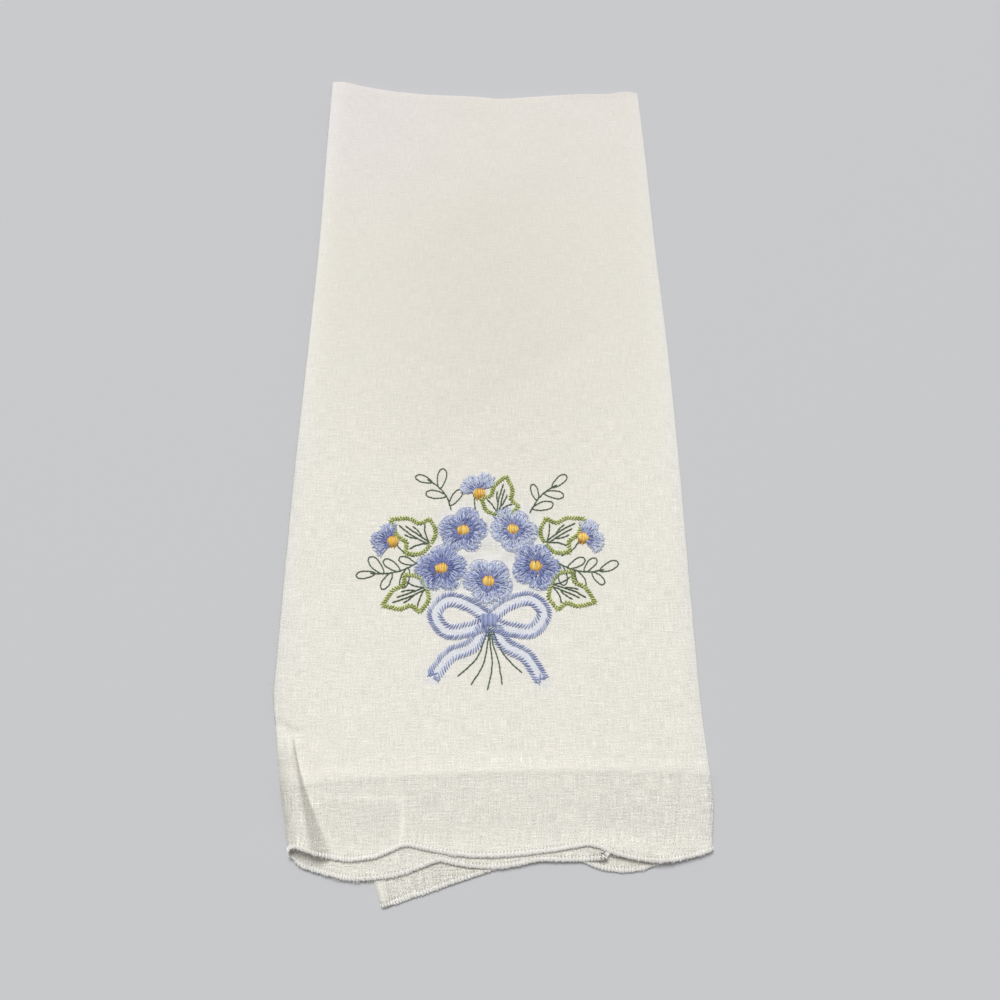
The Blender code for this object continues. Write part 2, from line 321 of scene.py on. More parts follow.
def scalloped_level(across):
    """The scalloped edge's level: a straight line less the depth times 4 s (1 - s).

    The mean of three nearby levels rounds the points between the scallops.
    """
    ends = np.array([row.end for row in SCALLOPS])
    levels = np.array([row.level for row in SCALLOPS])
    depths = np.array([row.depth for row in SCALLOPS])
    level = 0.0
    for near in (-SCALLOP_ROUNDING, 0.0, SCALLOP_ROUNDING):
        place = np.clip(across + near, TUCKED_END, LOOSE_END)
        row = np.clip(np.searchsorted(ends, place, side="right"), 1, len(ends) - 1)
        share = (place - ends[row - 1]) / (ends[row] - ends[row - 1])
        sag = depths[row] * 4.0 * share * (1.0 - share)
        level = level + (levels[row - 1] + (levels[row] - levels[row - 1]) * share - sag) / 3.0
    return level


def straight_level(right):
    """The straight hem's level behind the front: a parabola over the width."""
    return STRAIGHT_MIDDLE + STRAIGHT_TILT * right - STRAIGHT_BOW * right ** 2


def drawn_share(forward):
    """How far the left fold is drawn in at a level: the share of its run to the power of 1.1."""
    return np.clip((DRAWN_TOP - forward) / DRAWN_RUN, 0.0, 1.05) ** 1.1


def roll(along, forward):
    """How far the left fold's roll shifts the cloth to the right, and how far it lifts it.

    `along` is the distance from the fold's tip over the front. A quarter ellipse rises from the
    tip to the crest, a straight side falls from there, and the front takes up the rest. The
    height grows as the level's share to the power of 0.7, and the straight side as its square.
    The ellipse takes the root of its width squared and 1.6 times its height squared of cloth.
    """
    drawn = DRAWN_IN * drawn_share(forward)
    share = np.clip((ROLL_TOP - forward) / ROLL_RUN, 0.0, 1.0)
    bulge = BULGE + BULGE_GROWS * share
    rise = ROLL_RISE * share ** 0.7
    facet = FACET * share ** 2
    bulge_cloth = np.sqrt(bulge ** 2 + 1.6 * rise ** 2)
    facet_cloth = np.hypot(facet, rise) + 0.01
    rest_cloth = ROLL_REACH - bulge_cloth - facet_cloth
    risen = np.clip(along / bulge_cloth, 0.0, 1.0)
    fallen = np.clip((along - bulge_cloth) / facet_cloth, 0.0, 1.0)
    rested = np.clip((along - bulge_cloth - facet_cloth) / rest_cloth, 0.0, 1.0)
    quarter = 0.5 * math.pi * risen
    over = risen + (1.0 - np.cos(quarter) - risen) * smooth_step(4.0 * share)
    place = drawn + bulge * over + facet * fallen + (ROLL_REACH - drawn - bulge - facet) * rested
    front_shift = place - np.clip(along, 0.0, ROLL_REACH)
    under_share = smooth_step(1.0 + along / DRAWN_UNDER_REACH)
    under_shift = drawn * (DRAWN_UNDER + (1.0 - DRAWN_UNDER) * under_share)
    shift = np.where(along < 0.0, under_shift, front_shift)
    return shift, rise * (np.sin(quarter) - 0.5 * (fallen + smooth_step(fallen)))


def strip(across, forward):
    """The folded strip cut across: distance right of the middle, and rise over the mid plane.

    Straight panels joined by half circles, the left one round one layer and the right one
    round two, and the left fold opened by its roll.
    """
    left_angle = np.clip((FRONT_LEFT - across) / LEFT_RADIUS, 0.0, math.pi)
    right_angle = np.clip((across - FRONT_RIGHT) / RIGHT_RADIUS, 0.0, math.pi)
    past_left = np.maximum(FRONT_LEFT - across - math.pi * LEFT_RADIUS, 0.0)
    past_right = np.maximum(across - FRONT_RIGHT - math.pi * RIGHT_RADIUS, 0.0)
    right = np.clip(across, FRONT_LEFT, FRONT_RIGHT) + past_left - past_right
    right = right - LEFT_RADIUS * np.sin(left_angle) + RIGHT_RADIUS * np.sin(right_angle)
    left_fall = LEFT_RADIUS * (1.0 - np.cos(left_angle))
    right_fall = RIGHT_RADIUS * (1.0 - np.cos(right_angle))
    shift, lift = roll(across - LEFT_TIP, forward)
    return right + shift, FRONT_RISE - left_fall - right_fall + lift


def bells(creases, right, forward):
    """The sum of the creases' own rises: each is a bell over the line between its two points."""
    height = np.zeros(np.shape(right))
    for crease in creases:
        run = crease.to_right - crease.right
        climb = crease.to_forward - crease.forward
        share = (right - crease.right) * run + (forward - crease.forward) * climb
        share = np.clip(share / (run * run + climb * climb), 0.0, 1.0)
        away = np.hypot(right - crease.right - share * run, forward - crease.forward - share * climb)
        height += crease.rise * bell(away, crease.width)
    return height


def relief(right, forward):
    """How far creases, the puckered posy and the layers behind raise the front.

    A pucker is a sine of the angle round its blossom, times a bell over the distance from it.
    """
    height = bells(CREASES, right, forward)
    for row in BLOSSOMS:
        beside, above = right - row.right, forward - POSY_LEVEL - row.up
        away = np.hypot(beside, above) / row.size
        ripple = np.sin(PUCKER_RIPPLES * np.arctan2(above, beside) + row.right)
        height += PUCKER * (ripple - PUCKER_SINK) * bell(away - PUCKER_REACH, PUCKER_WIDTH)
    past_tucked = smooth_step((right - TUCKED_EDGE) / TUCKED_SINK_RUN)
    return height - TUCKED_SINK * past_tucked


def lie(across, forward, turn, off):
    """Where points of the cloth lie in the frame, in millimetres, `off` above its middle.

    The strip's section is laid at its place along the towel, turned over the top fold, dropped
    past the straight hem, and fitted between the outline's sides. `off` is measured along the
    section's normal, towards the cloth's right side. The relief fades with the square of the
    height over the mid plane. The loose third leans with the cube of the way over it, and with
    the way down to the power of 1.5.
    """
    upper = turn == 0.0
    level = np.where(upper, forward, DRAWN_TOP)
    right_before, rise_before = strip(across - SLOPE_REACH, level)
    right_after, rise_after = strip(across + SLOPE_REACH, level)
    right, rise = strip(across, level)
    run = right_after - right_before
    climb = rise_after - rise_before
    length = np.hypot(run, climb) + 1e-9
    depth_share = np.clip(rise / FRONT_RISE, 0.0, 1.2) ** 2 * upper
    right = right - climb / length * off
    rise = rise + run / length * off

    near_side = smooth_step((BACK_REACH - HALF_WIDTH - right) / BACK_REACH)
    right = right + BACK_DRAWN_IN * drawn_share(forward) * near_side * ~upper

    straight_share = np.clip(1.0 - forward / STRAIGHT_REACH, 0.0, 1.0) * ~upper
    lengthways = forward + straight_share * straight_level(right)
    dip_share = smooth_step((forward - DIP_START) / (FOLD_LINE - DIP_START))
    dip = smooth_table(right, [row.right for row in DIPS], [row.fall for row in DIPS])
    corner = TOP - FRONT_RISE - 0.5 * SHEET - FOLD_LINE
    lengthways = lengthways + dip_share * (corner - dip) + rise * np.sin(turn)

    loose = np.clip((across - LOOSE_START) / (LOOSE_END - LOOSE_START), 0.0, 1.0) * upper
    lean = np.clip((LEAN_TOP - lengthways) / LEAN_RUN, 0.0, 1.0) ** 1.5
    right = right + LEAN * loose ** 3 * lean

    past_hem = straight_level(right) + DROP_START - lengthways
    fallen = (1.0 - DROP_STEP) * smooth_step(past_hem / DROP_RUN)
    fallen = (fallen + DROP_STEP * smooth_step(past_hem / DROP_STEP_RUN)) * upper
    to_edge = smooth_step(1.0 - (forward - scalloped_level(across)) / HEM_LIFT_RUN) * upper
    height = MIDDLE + rise * np.cos(turn) - DROP * fallen + HEM_LIFT * to_edge
    height = height + depth_share * relief(right, lengthways)
    curled = smooth_step((CURL_START - forward) / CURL_RUN) * upper
    curled = curled * bell(across - TUCKED_END, CURL_REACH)
    height = height + CURL * curled
    right = right + CURL_OUT * curled
    levels = [row.level for row in SIDES]
    left_side = smooth_table(lengthways, levels, [row.left for row in SIDES])
    right_side = smooth_table(lengthways, levels, [row.right for row in SIDES])
    right = left_side + (right_side - left_side) * (right + HALF_WIDTH) / (2.0 * HALF_WIDTH)
    full_turn = 2.0 * math.pi
    waves = np.sin(full_turn * right / SWELL_ACROSS) * np.sin(full_turn * lengthways / SWELL_ALONG)
    to_side = np.minimum(right - left_side, right_side - right)
    pressed = PRESSED * bell(to_side, PRESSED_RUN)
    pressed = pressed * smooth_step((lengthways - HEM_START) / PRESSED_FADE)
    height = height * (1.0 + SWELL * waves - pressed)
    return np.stack([right, lengthways + UP_THE_FRAME, height], axis=-1)


def grid_lines(start, stretches):
    """The grid's places along one direction, each stretch divided into equal steps."""
    places = [np.array([start])]
    for row in stretches:
        places.append(start + (row.end - start) * np.arange(1, row.steps + 1) / row.steps)
        start = row.end
    return np.concatenate(places)


def corners(grid, under, rims):
    """Each quad's four corner values on a closed sheet: its face, its reverse, its four rims.

    `grid` and `under` hold a value for each point of the face and the reverse, and `rims`
    what stands for the reverse along the first and last rows and the first and last columns.
    """
    first, last, left, right = rims

    def quads(a, b, c, d):
        """Four arrays as the corners of quads: side by side on an axis after the grid's."""
        return np.stack([a, b, c, d], axis=1 if a.ndim == grid.ndim - 1 else 2)

    blocks = [
        quads(grid[:-1, :-1], grid[1:, :-1], grid[1:, 1:], grid[:-1, 1:]),
        quads(under[:-1, :-1], under[:-1, 1:], under[1:, 1:], under[1:, :-1]),
        quads(grid[0, :-1], grid[0, 1:], first[1:], first[:-1]),
        quads(grid[-1, 1:], grid[-1, :-1], last[:-1], last[1:]),
        quads(grid[1:, 0], grid[:-1, 0], left[:-1], left[1:]),
        quads(grid[:-1, -1], grid[1:, -1], right[1:], right[:-1]),
    ]
    return np.concatenate([block.reshape((-1, 4) + grid.shape[2:]) for block in blocks])


def add_mark(mesh, title, values):
    """Gives a mesh a number for each point, which its material reads."""
    mark = mesh.attributes.new(title, "FLOAT", "POINT")
    mark.data.foreach_set("value", values.reshape(-1).astype(np.float32))


def make_piece(name, points, quads, material, maps, marks):
    """A new piece at the origin: its points in mm, its quads, UV maps and point attributes."""
    mesh = bpy.data.meshes.new(name)
    mesh.from_pydata(points.reshape(-1, 3) * MM, [], quads)
    for title, values in maps.items():
        layer = mesh.uv_layers.new(name=title)
        layer.uv.foreach_set("vector", values.reshape(-1).astype(np.float32))
    for title, values in marks.items():
        add_mark(mesh, title, values)
    mesh.shade_smooth()
    mesh.materials.append(material)
    mesh.validate()
    piece = bpy.data.objects.new(name, mesh)
    bpy.context.scene.collection.objects.link(piece)
    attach(piece, "root")
    return piece


class Shade:
    """A socket in a material's nodes. Arithmetic on it adds the Math nodes that work it out."""

    def __init__(self, socket):
        self.socket = socket

    def node(self, kind, inputs, output=0, **settings):
        """Adds a node to this material: its settings first, then its inputs' values or links."""
        tree = self.socket.id_data
        added = tree.nodes.new("ShaderNode" + kind)
        for title, value in settings.items():
            setattr(added, title, value)
        for title, value in inputs.items():
            if isinstance(value, Shade):
                tree.links.new(value.socket, added.inputs[title])
            else:
                added.inputs[title].default_value = value
        return Shade(added.outputs[output])

    def mark(self, title):
        """One of the mesh's own numbers for each point."""
        return self.node("Attribute", {}, output="Fac", attribute_name=title)

    def feed(self, shader, title):
        """Links this socket to one of the shader's own."""
        self.socket.id_data.links.new(self.socket, shader.inputs[title])

    def math(self, operation, first, second=0.0):
        """One Math node on one or two values."""
        return self.node("Math", {0: first, 1: second}, operation=operation)

    def __add__(self, other):
        return self.math("ADD", self, other)

    def __sub__(self, other):
        return self.math("SUBTRACT", self, other)

    def __rsub__(self, other):
        return self.math("SUBTRACT", other, self)

    def __mul__(self, other):
        return self.math("MULTIPLY", self, other)

    def __truediv__(self, other):
        return self.math("DIVIDE", self, other)

    __radd__ = __add__
    __rmul__ = __mul__

    def wave(self, period):
        """A sine of this value with the given period."""
        return self.math("SINE", self * (2.0 * math.pi / period))

    def between(self, low, high):
        """0 below low, 1 above high, with a smooth change between them."""
        inputs = {"Value": self, "From Min": low, "From Max": high}
        return self.node("MapRange", inputs, interpolation_type="SMOOTHSTEP")

    def noise(self, across, along, detail=1.0):
        """Noise on a stretched copy of this vector: so many lumps a metre each way."""
        stretched = self.node("VectorMath", {0: self, 1: (across, along, 1.0)}, operation="MULTIPLY")
        return self.node("TexNoise", {"Vector": stretched, "Scale": 1.0, "Detail": detail})

    def blend(self, first, second):
        """A colour between two colours, by this value."""
        inputs = {"Factor": self, 6: first, 7: second}
        return self.node("Mix", inputs, output=2, data_type="RGBA")

    def scaled(self, share):
        """This colour, made lighter or darker by a number."""
        return self.node("VectorMath", {0: self, "Scale": share}, operation="SCALE")


def colour(red, green, blue):
    """A display colour from 0 to 255 as the linear one that a shader takes."""
    share = np.array([red, green, blue]) / 255.0
    linear = np.where(share <= 0.04045, share / 12.92, ((share + 0.055) / 1.055) ** 2.4)
    return (*linear.tolist(), 1.0)


def new_material(name, roughness, sheen):
    """A material with its shader, and a first socket to work from."""
    material = bpy.data.materials.new(name)
    material.use_nodes = True
    shader = material.node_tree.nodes["Principled BSDF"]
    shader.inputs["Roughness"].default_value = roughness
    shader.inputs["Sheen Weight"].default_value = sheen
    return material, shader, Shade(shader.outputs[0])


THREAD = 0.40 * MM          # width of one thread of the linen
UNEVEN = 0.42 * MM          # how far the threads stray
SLUB_LENGTH = 5.0 * MM      # length of a thick place in a thread
SLUB_FINE = 0.8             # how fine these noises are, beside the threads: the slubs,
GRAIN_FINE = 1.1            # the grain
COARSE_FINE = 0.4           # and the patches of the weave that show more
SLUB_LOW = 0.60             # above this the noise shows a slub, above the next one in full
SLUB_HIGH = 0.74
CLOUDS_ACROSS = 55.0        # soft clouds to the metre, over the cloth and along it
CLOUDS_ALONG = 70.0
NEEDLE_PITCH = 1.02         # between the overlock's needle holes, in mm
NEEDLE_LINE = 1.30          # how far inside the edge they lie
NEEDLE_INNER = 0.10         # half the height of a hole, and the same with its soft rim
NEEDLE_OUTER = 0.40
HOLE_LOW = -0.1             # the part of the sine along the edge that shows as a hole
HOLE_HIGH = 0.9
HOLE_GRAIN = 0.3            # added to the grain, which makes some holes deeper than others
# How much lighter or darker each of these makes the cloth look
THREAD_TONE = 0.32
GRAIN_TONE = 0.72
CHEQUER_TONE = 0.10
SLUB_TONE = 0.13
CLOUD_TONE = 0.08
SHEER_CLOUD_TONE = 0.9      # and more clouded where the cloth is sheer and where shade is painted, as a share of that
# the needle holes are darkened with painted shade
HOLE_SHADE = 0.28
CHEQUER_HEIGHT = 0.8        # how high the chequer and the slubs stand, beside a thread's 1
SLUB_HEIGHT = 0.5
WEAVE_BUMP = 0.5            # how strong the weave's bump is, and how deep
WEAVE_DEPTH = 0.10 * MM
# How much the clouds shift the cream and the rose, and the painted shade that comes with them
CREAM_SHADE_CLOUDS = 0.5
ROSE_SHADE_CLOUDS = 0.25
LINEN_WHITE = colour(241, 238, 228)
# The cream and rose colours are darker than the white, as painted shade
LINEN_SHADED_CREAM = colour(231, 227, 215)
LINEN_SHADED_ROSE = colour(237, 231, 227)
LINEN_BLUISH = colour(224, 229, 240)


def linen_material():
    """Plain weave: a chequer of threads over and under, slubs along both, and soft mottling.

    The chequer is the product of two sines, one thread high and low in turn, at places that
    noise makes stray. Every noise is centred on 0 by taking its mean, a half, away.
    """
    material, shader, start = new_material("linen", roughness=0.85, sheen=0.2)
    flat = start.node("UVMap", {}, uv_map="cloth")
    parts = start.node("SeparateXYZ", {"Vector": flat}).socket.node.outputs
    fine = 1.0 / THREAD
    long = 1.0 / SLUB_LENGTH
    warp = flat.noise(fine, long, 2.0)
    weft = flat.noise(long, fine, 2.0)
    grain = flat.noise(GRAIN_FINE * fine, GRAIN_FINE * fine, 2.0)
    cloudy = flat.noise(CLOUDS_ACROSS, CLOUDS_ALONG, 3.0)
    coarse = flat.noise(COARSE_FINE * fine, COARSE_FINE * fine, 1.0)
    across = Shade(parts["X"]) + (grain + weft + coarse - 1.5) * UNEVEN
    along = Shade(parts["Y"]) + (grain + warp + coarse - 1.5) * UNEVEN
    chequer = across.wave(2.0 * THREAD) * along.wave(2.0 * THREAD) * coarse
    slubs = flat.noise(SLUB_FINE * fine, long, 2.0).between(SLUB_LOW, SLUB_HIGH)
    slubs = slubs + flat.noise(long, SLUB_FINE * fine, 2.0).between(SLUB_LOW, SLUB_HIGH)

    # how sheer the cloth is, with painted shade and painted highlights in the same mark
    sheer_and_shade = start.mark("sheer_and_shade")
    crisp = start.mark("crisp")
    threads = (warp - 0.5) * THREAD_TONE + (weft - 0.5) * THREAD_TONE
    threads = threads + (grain - 0.5) * GRAIN_TONE + chequer * CHEQUER_TONE
    threads = threads * crisp + slubs * SLUB_TONE * crisp
    tone = 1.0 + threads + (cloudy - 0.5) * (CLOUD_TONE + sheer_and_shade * SHEER_CLOUD_TONE) - sheer_and_shade
    inward = start.mark("inward")
    holes = start.mark("along_edge").wave(NEEDLE_PITCH).between(HOLE_LOW, HOLE_HIGH)
    holes = holes * (grain + HOLE_GRAIN)
    holes = holes * inward.between(NEEDLE_LINE - NEEDLE_OUTER, NEEDLE_LINE - NEEDLE_INNER)
    holes = holes * (1.0 - inward.between(NEEDLE_LINE + NEEDLE_INNER, NEEDLE_LINE + NEEDLE_OUTER))
    # the cream and rose tints also darken the cloth, as painted shade
    cream_and_shade = start.mark("cream_and_shade") + (cloudy - 0.5) * CREAM_SHADE_CLOUDS
    hue = cream_and_shade.blend(LINEN_WHITE, LINEN_SHADED_CREAM)
    rose_and_shade = start.mark("rose_and_shade") + (cloudy - 0.5) * ROSE_SHADE_CLOUDS
    hue = rose_and_shade.blend(hue, LINEN_SHADED_ROSE)
    hue = start.mark("bluish").blend(hue, LINEN_BLUISH)
    hue.scaled(tone - holes * HOLE_SHADE).feed(shader, "Base Color")
    height = chequer * CHEQUER_HEIGHT + (warp + weft + grain) + slubs * SLUB_HEIGHT - holes
    bump = start.node("Bump", {"Height": height, "Strength": WEAVE_BUMP, "Distance": WEAVE_DEPTH})
    bump.feed(shader, "Normal")
    return material


# How much darker the cloth looks where fewer layers lie behind it than behind the upper front, and
# where shade is painted on it
FRONT_SHEER = 0.040         # the front past the straight hem,
UNTUCKED_SHEER = 0.030      # and more where the tucked third isn't behind it
UNBACKED_SHEER = 0.012      # or the loose third
TUCKED_SHEER = 0.095        # the tucked third past the straight hem
LOOSE_SHEER = 0.175         # the loose third there, and how much less so its turned hem
LOOSE_TURNING = 0.145
ONE_LAYER_SHEER = 0.012     # the front right of the tucked third's edge, low down
TURNING_PALER = 0.022       # how much less the front over the straight hem's turning
ROLL_SHEER_AND_SHADE = 0.26           # painted shade on the roll's single layer, which is also sheer, and more on its steep side
FACET_SHADE = 0.16
FOLD_SHADE = 0.055          # painted shade along the pressed left fold
FOLD_SHADE_WIDTH = 3.2
CURL_SHADE = 0.45           # a painted shadow: a dark line inside the curled corner, this far from the third's edge
CURL_LINE = 2.0
CURL_LINE_WIDTH = 1.0
SIDE_LIGHT = 0.070          # how much lighter the upper part is at its sides
SIDE_LIGHT_WIDTH = 5.5
STEEP = 0.77                # the sine of the steep side's slope, at which it takes its full painted shade
FACET_FROM = 1.0            # that side can lie from this far past the fold's tip
WEAVE_CLEAR = 0.52          # how clear the weave shows at the top, how much more at the foot,
WEAVE_CLEARER = 0.48
SHEER_CLEARER = 6.0         # and where the cloth is sheer, for each unit of that

# Where these looks change: from a place on, over a length; a length below 0 runs down or left
Change = namedtuple("Change", "start run")
BELOW_HEM = Change(0.0, -1.2)
OVER_TURNING = Change(TURNED_HEM + 0.4, -0.6)
PAST_TUCKED = Change(TUCKED_EDGE, 1.5)
PAST_LOOSE = Change(LOOSE_EDGE, -6.0)
IN_LOOSE_TURNING = Change(TURNED_HEM, -0.4)
IN_CURL = Change(CURL_START, -0.6)
IN_ONE_LAYER = Change(TUCKED_EDGE + 1.0, 1.0)
ONE_LAYER_LOW = Change(60.0, -60.0)
DOWN_THE_ROLL = Change(ROLL_TOP, -8.0)
LOW_ON_THE_ROLL = Change(-4.0, -10.0)
OUTSIDE_THE_ROLL = Change(LEFT_TIP + 8.0, -6.0)
FOLD_LOW = Change(150.0, -60.0)
FOLD_ABOVE_HEM = Change(HEM_START, 20.0)
SIDE_LIGHT_HIGH = Change(40.0, 110.0)
WEAVE_LOW = Change(185.0, -120.0)
CREAM_HIGH = Change(80.0, 90.0)
ROSE_HIGH = Change(170.0, 90.0)
ROSE_LEFT = Change(-5.0, -45.0)
CREAM_MIDDLE = 165.0        # the level of the creamiest and most shaded place, and its reach to the side and up
CREAM_REACH = 42.0
CREAM_REACH_UP = 80.0
CREAM_SHADE_MOST = 0.85           # how creamy and shaded that place is, and the rest from the posy up
CREAM_SHADE_ELSEWHERE = 0.35
ROSE_SHADE_ON_RIGHT = 0.45        # how rosy and shaded the top is on the right, and how much more on the left
ROSE_SHADE_MORE_LEFT = 0.55


def past(value, change):
    """0 up to the change's start and 1 from its run further on, with level ends."""
    return smooth_step((value - change.start) / change.run)


def sheer_and_shade_marks(across, place, upper):
    """Per point: how sheer the cloth looks by the layers behind it, with painted shade and painted
    highlights added, and how clear its weave.
    """
    right = place[..., 0]
    forward = place[..., 1] - UP_THE_FRAME
    from_hem = forward - straight_level(right)
    front = (across > FRONT_LEFT) & (across < FRONT_RIGHT)
    below = past(from_hem, BELOW_HEM) * upper
    alone = past(right, PAST_TUCKED) * UNTUCKED_SHEER + past(right, PAST_LOOSE) * UNBACKED_SHEER
    loose_third = LOOSE_SHEER - LOOSE_TURNING * past(LOOSE_END - across, IN_LOOSE_TURNING)
    behind = np.where(across >= FRONT_RIGHT, loose_third, TUCKED_SHEER)
    sheer_and_shade = below * np.where(front, FRONT_SHEER + alone, behind)
    # A painted shadow in the hollow of the curled corner
    curl_shadow = bell(across - TUCKED_END - CURL_LINE, CURL_LINE_WIDTH) * past(forward, IN_CURL)
    sheer_and_shade = sheer_and_shade + CURL_SHADE * curl_shadow * upper
    above = (1.0 - below) * upper * front
    one_layer = past(right, IN_ONE_LAYER) * past(forward, ONE_LAYER_LOW)
    turning = past(from_hem, OVER_TURNING)
    sheer_and_shade = sheer_and_shade + above * (ONE_LAYER_SHEER * one_layer - TURNING_PALER * turning)
    crisp = WEAVE_CLEAR + WEAVE_CLEARER * past(forward, WEAVE_LOW)
    crisp = crisp + SHEER_CLEARER * np.maximum(sheer_and_shade, 0.0)

    # Painted shade on the roll: on its flank, which is also sheer, and more on its steep side, found
    # by the slope
    run = np.gradient(place[..., 0], axis=1)
    climb = np.gradient(place[..., 2], axis=1)
    facet = smooth_step(-climb / np.hypot(run, climb) / STEEP)
    facet = facet * (across > LEFT_TIP + FACET_FROM) * (across < LEFT_TIP + ROLL_REACH)
    flank = past(forward, DOWN_THE_ROLL) * (1.0 - 0.5 * past(forward, LOW_ON_THE_ROLL))
    flank = flank * past(across, OUTSIDE_THE_ROLL) * (across > LEFT_TIP)
    roll_sheer_and_shade = flank * ROLL_SHEER_AND_SHADE + facet * FACET_SHADE
    # Painted shade along the pressed left fold
    left_fold_shade = bell(right + HALF_WIDTH, FOLD_SHADE_WIDTH) * past(forward, FOLD_LOW)
    left_fold_shade = left_fold_shade * past(forward, FOLD_ABOVE_HEM) * FOLD_SHADE
    side_light = bell(HALF_WIDTH - np.abs(right), SIDE_LIGHT_WIDTH) * past(forward, SIDE_LIGHT_HIGH)
    # painted highlights along the pressed lines, and the upper part lighter at its sides
    paler = bells(PRESSED_HIGHLIGHTS, right, forward) * front + SIDE_LIGHT * side_light
    return sheer_and_shade + upper * (roll_sheer_and_shade + left_fold_shade - paler), crisp


def hues_and_shade(place):
    """Per point: how creamy the cloth is, most in its middle, and how rosy, most at upper left; both
    darken it as painted shade, so that the foot is lightest.
    """
    right = place[..., 0]
    forward = place[..., 1] - UP_THE_FRAME
    middle = np.exp(-(right / CREAM_REACH) ** 2 - ((forward - CREAM_MIDDLE) / CREAM_REACH_UP) ** 2)
    elsewhere = CREAM_SHADE_ELSEWHERE * past(forward, CREAM_HIGH)
    cream_and_shade = CREAM_SHADE_MOST * middle + elsewhere * (1.0 - middle)
    rose_and_shade = past(forward, ROSE_HIGH) * (ROSE_SHADE_ON_RIGHT + ROSE_SHADE_MORE_LEFT * past(right, ROSE_LEFT))
    return cream_and_shade, rose_and_shade


columns = grid_lines(TUCKED_END, COLUMNS)
back_rows = grid_lines(0.0, BACK_ROWS)
bend_turns = math.pi * (1.0 - np.arange(1, BEND_STEPS + 1) / BEND_STEPS)
front_rows = grid_lines(FOLD_LINE, FRONT_ROWS)[1:]
level = np.concatenate([back_rows, np.full(BEND_STEPS, FOLD_LINE), front_rows])
turn = np.concatenate([np.full(len(back_rows), math.pi), bend_turns, np.zeros(len(front_rows))])
bend_length = math.pi * FRONT_RISE
flat_length = np.concatenate([back_rows, FOLD_LINE + bend_length * (1.0 - bend_turns / math.pi),
                              2.0 * FOLD_LINE + bend_length - front_rows])

across, level = np.meshgrid(columns, level)
turn = np.broadcast_to(turn[:, None], level.shape)
upper = turn == 0.0
hem_share = np.clip((HEM_START - level) / (HEM_START - HEM_LEVEL), 0.0, 1.0) * upper
hem_shift = hem_share * (scalloped_level(across) - HEM_LEVEL)
forward = level + hem_shift
side_edge = np.minimum(across - TUCKED_END, LOOSE_END - across)
straight_edge = np.where(upper, TURNED_HEM, level)
in_hem = smooth_step((TURNED_HEM - np.minimum(side_edge, straight_edge)) / TURNED_STEP)
face = lie(across, forward, turn, np.full(across.shape, 0.5 * SHEET))
reverse = lie(across, forward, turn, -0.5 * SHEET - TURNED_THICK * in_hem)

# The sheet's flat pattern, which the weave follows, and the same laid out for baking with the
# face beside the reverse
flat = np.stack([across, flat_length[:, None] - hem_shift], axis=-1)
MAP_GAP = 3.0               # the space round the face and the reverse
RIM_SHARE = 0.7             # how much of it the sheet's thin rims take up
map_span = 2.0 * (LOOSE_END - TUCKED_END) + 4.0 * MAP_GAP
spread = (flat - (TUCKED_END - MAP_GAP, -MAP_GAP)) / map_span
spread_reverse = spread + (0.5, 0.0)
gap = RIM_SHARE * MAP_GAP / map_span
rims = (spread[0] - (0.0, gap), spread[-1] + (0.0, gap), spread[:, 0] - (gap, 0.0),
        spread[:, -1] + (gap, 0.0))
index = np.arange(across.size).reshape(across.shape)
under = index + across.size
quads = corners(index, under, (under[0], under[-1], under[:, 0], under[:, -1]))
cloth_map = corners(flat, flat, (flat[0], flat[-1], flat[:, 0], flat[:, -1])) * MM

# Distances along the scalloped edge, for its needle holes and its overlocking
CUT_POINTS = 6001
cut = np.linspace(TUCKED_END, LOOSE_END, CUT_POINTS)
cut_level = scalloped_level(cut)
cut_length = np.concatenate([[0.0], np.hypot(np.diff(cut), np.diff(cut_level)).cumsum()])
# the sheer mark carries painted shade and highlights too, and the cream and rose marks painted shade
sheer_and_shade, crisp = sheer_and_shade_marks(across, face, upper)
cream_and_shade, rose_and_shade = hues_and_shade(face)
marks = {
    "sheer_and_shade": sheer_and_shade,
    "crisp": crisp,
    "cream_and_shade": cream_and_shade,
    "rose_and_shade": rose_and_shade,
    "inward": np.where(upper, forward - scalloped_level(across), HEM_LIFT_RUN),
    "along_edge": np.interp(across, cut, cut_length),
}
towel = make_piece("towel_linen", np.stack([face, reverse]), quads, linen_material(),
                   {"cloth": cloth_map, "OFBake": corners(spread, spread_reverse, rims)},
                   {title: np.stack([values, values]) for title, values in marks.items()})
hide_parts("linen_towel")

# ---------------------------------------------------------------------------------------------
# The overlocked edge. Fine white cotton is wound over the scalloped edge in one long spiral.
# At each needle hole its turns draw together, and one of them reaches further into the cloth.
RING_SIDES = 6
TURNS_TO_HOLE = 3
EDGE_TURN = NEEDLE_PITCH / TURNS_TO_HOLE    # the spiral's advance with each turn
EDGE_THREAD = 0.115         # the thread's radius
EDGE_STEPS = 10             # rings in each turn
EDGE_MIDDLE = 0.50          # how far inside the cut edge the spiral's middle lies
EDGE_REACH = 0.54           # how far it reaches inwards and outwards from there
EDGE_TOOTH = 0.32           # how much further the needle stitches reach
EDGE_GATHER = 0.40          # how far each stitch's turns draw together
EDGE_BEAD = 0.22            # how much fuller the middle of each stitch is
EDGE_WANDER = 0.15          # how far the whole seam strays in and out, in so many turns
EDGE_WANDER_TURNS = 9
FIRST_HOLE = 0.25           # the first needle hole's place, as a share of their pitch
RAGGED = 0.42               # how uneven the turns are
SWELL_RAGGED = 0.3          # the share of it that their heights take
EDGING_SHADE = 0.65         # the thread's middle shade, and how far the turns differ from it
EDGING_SHADES = 0.35
LEVEL_ENDS = 0.5            # how far from a place on the edge its direction is read
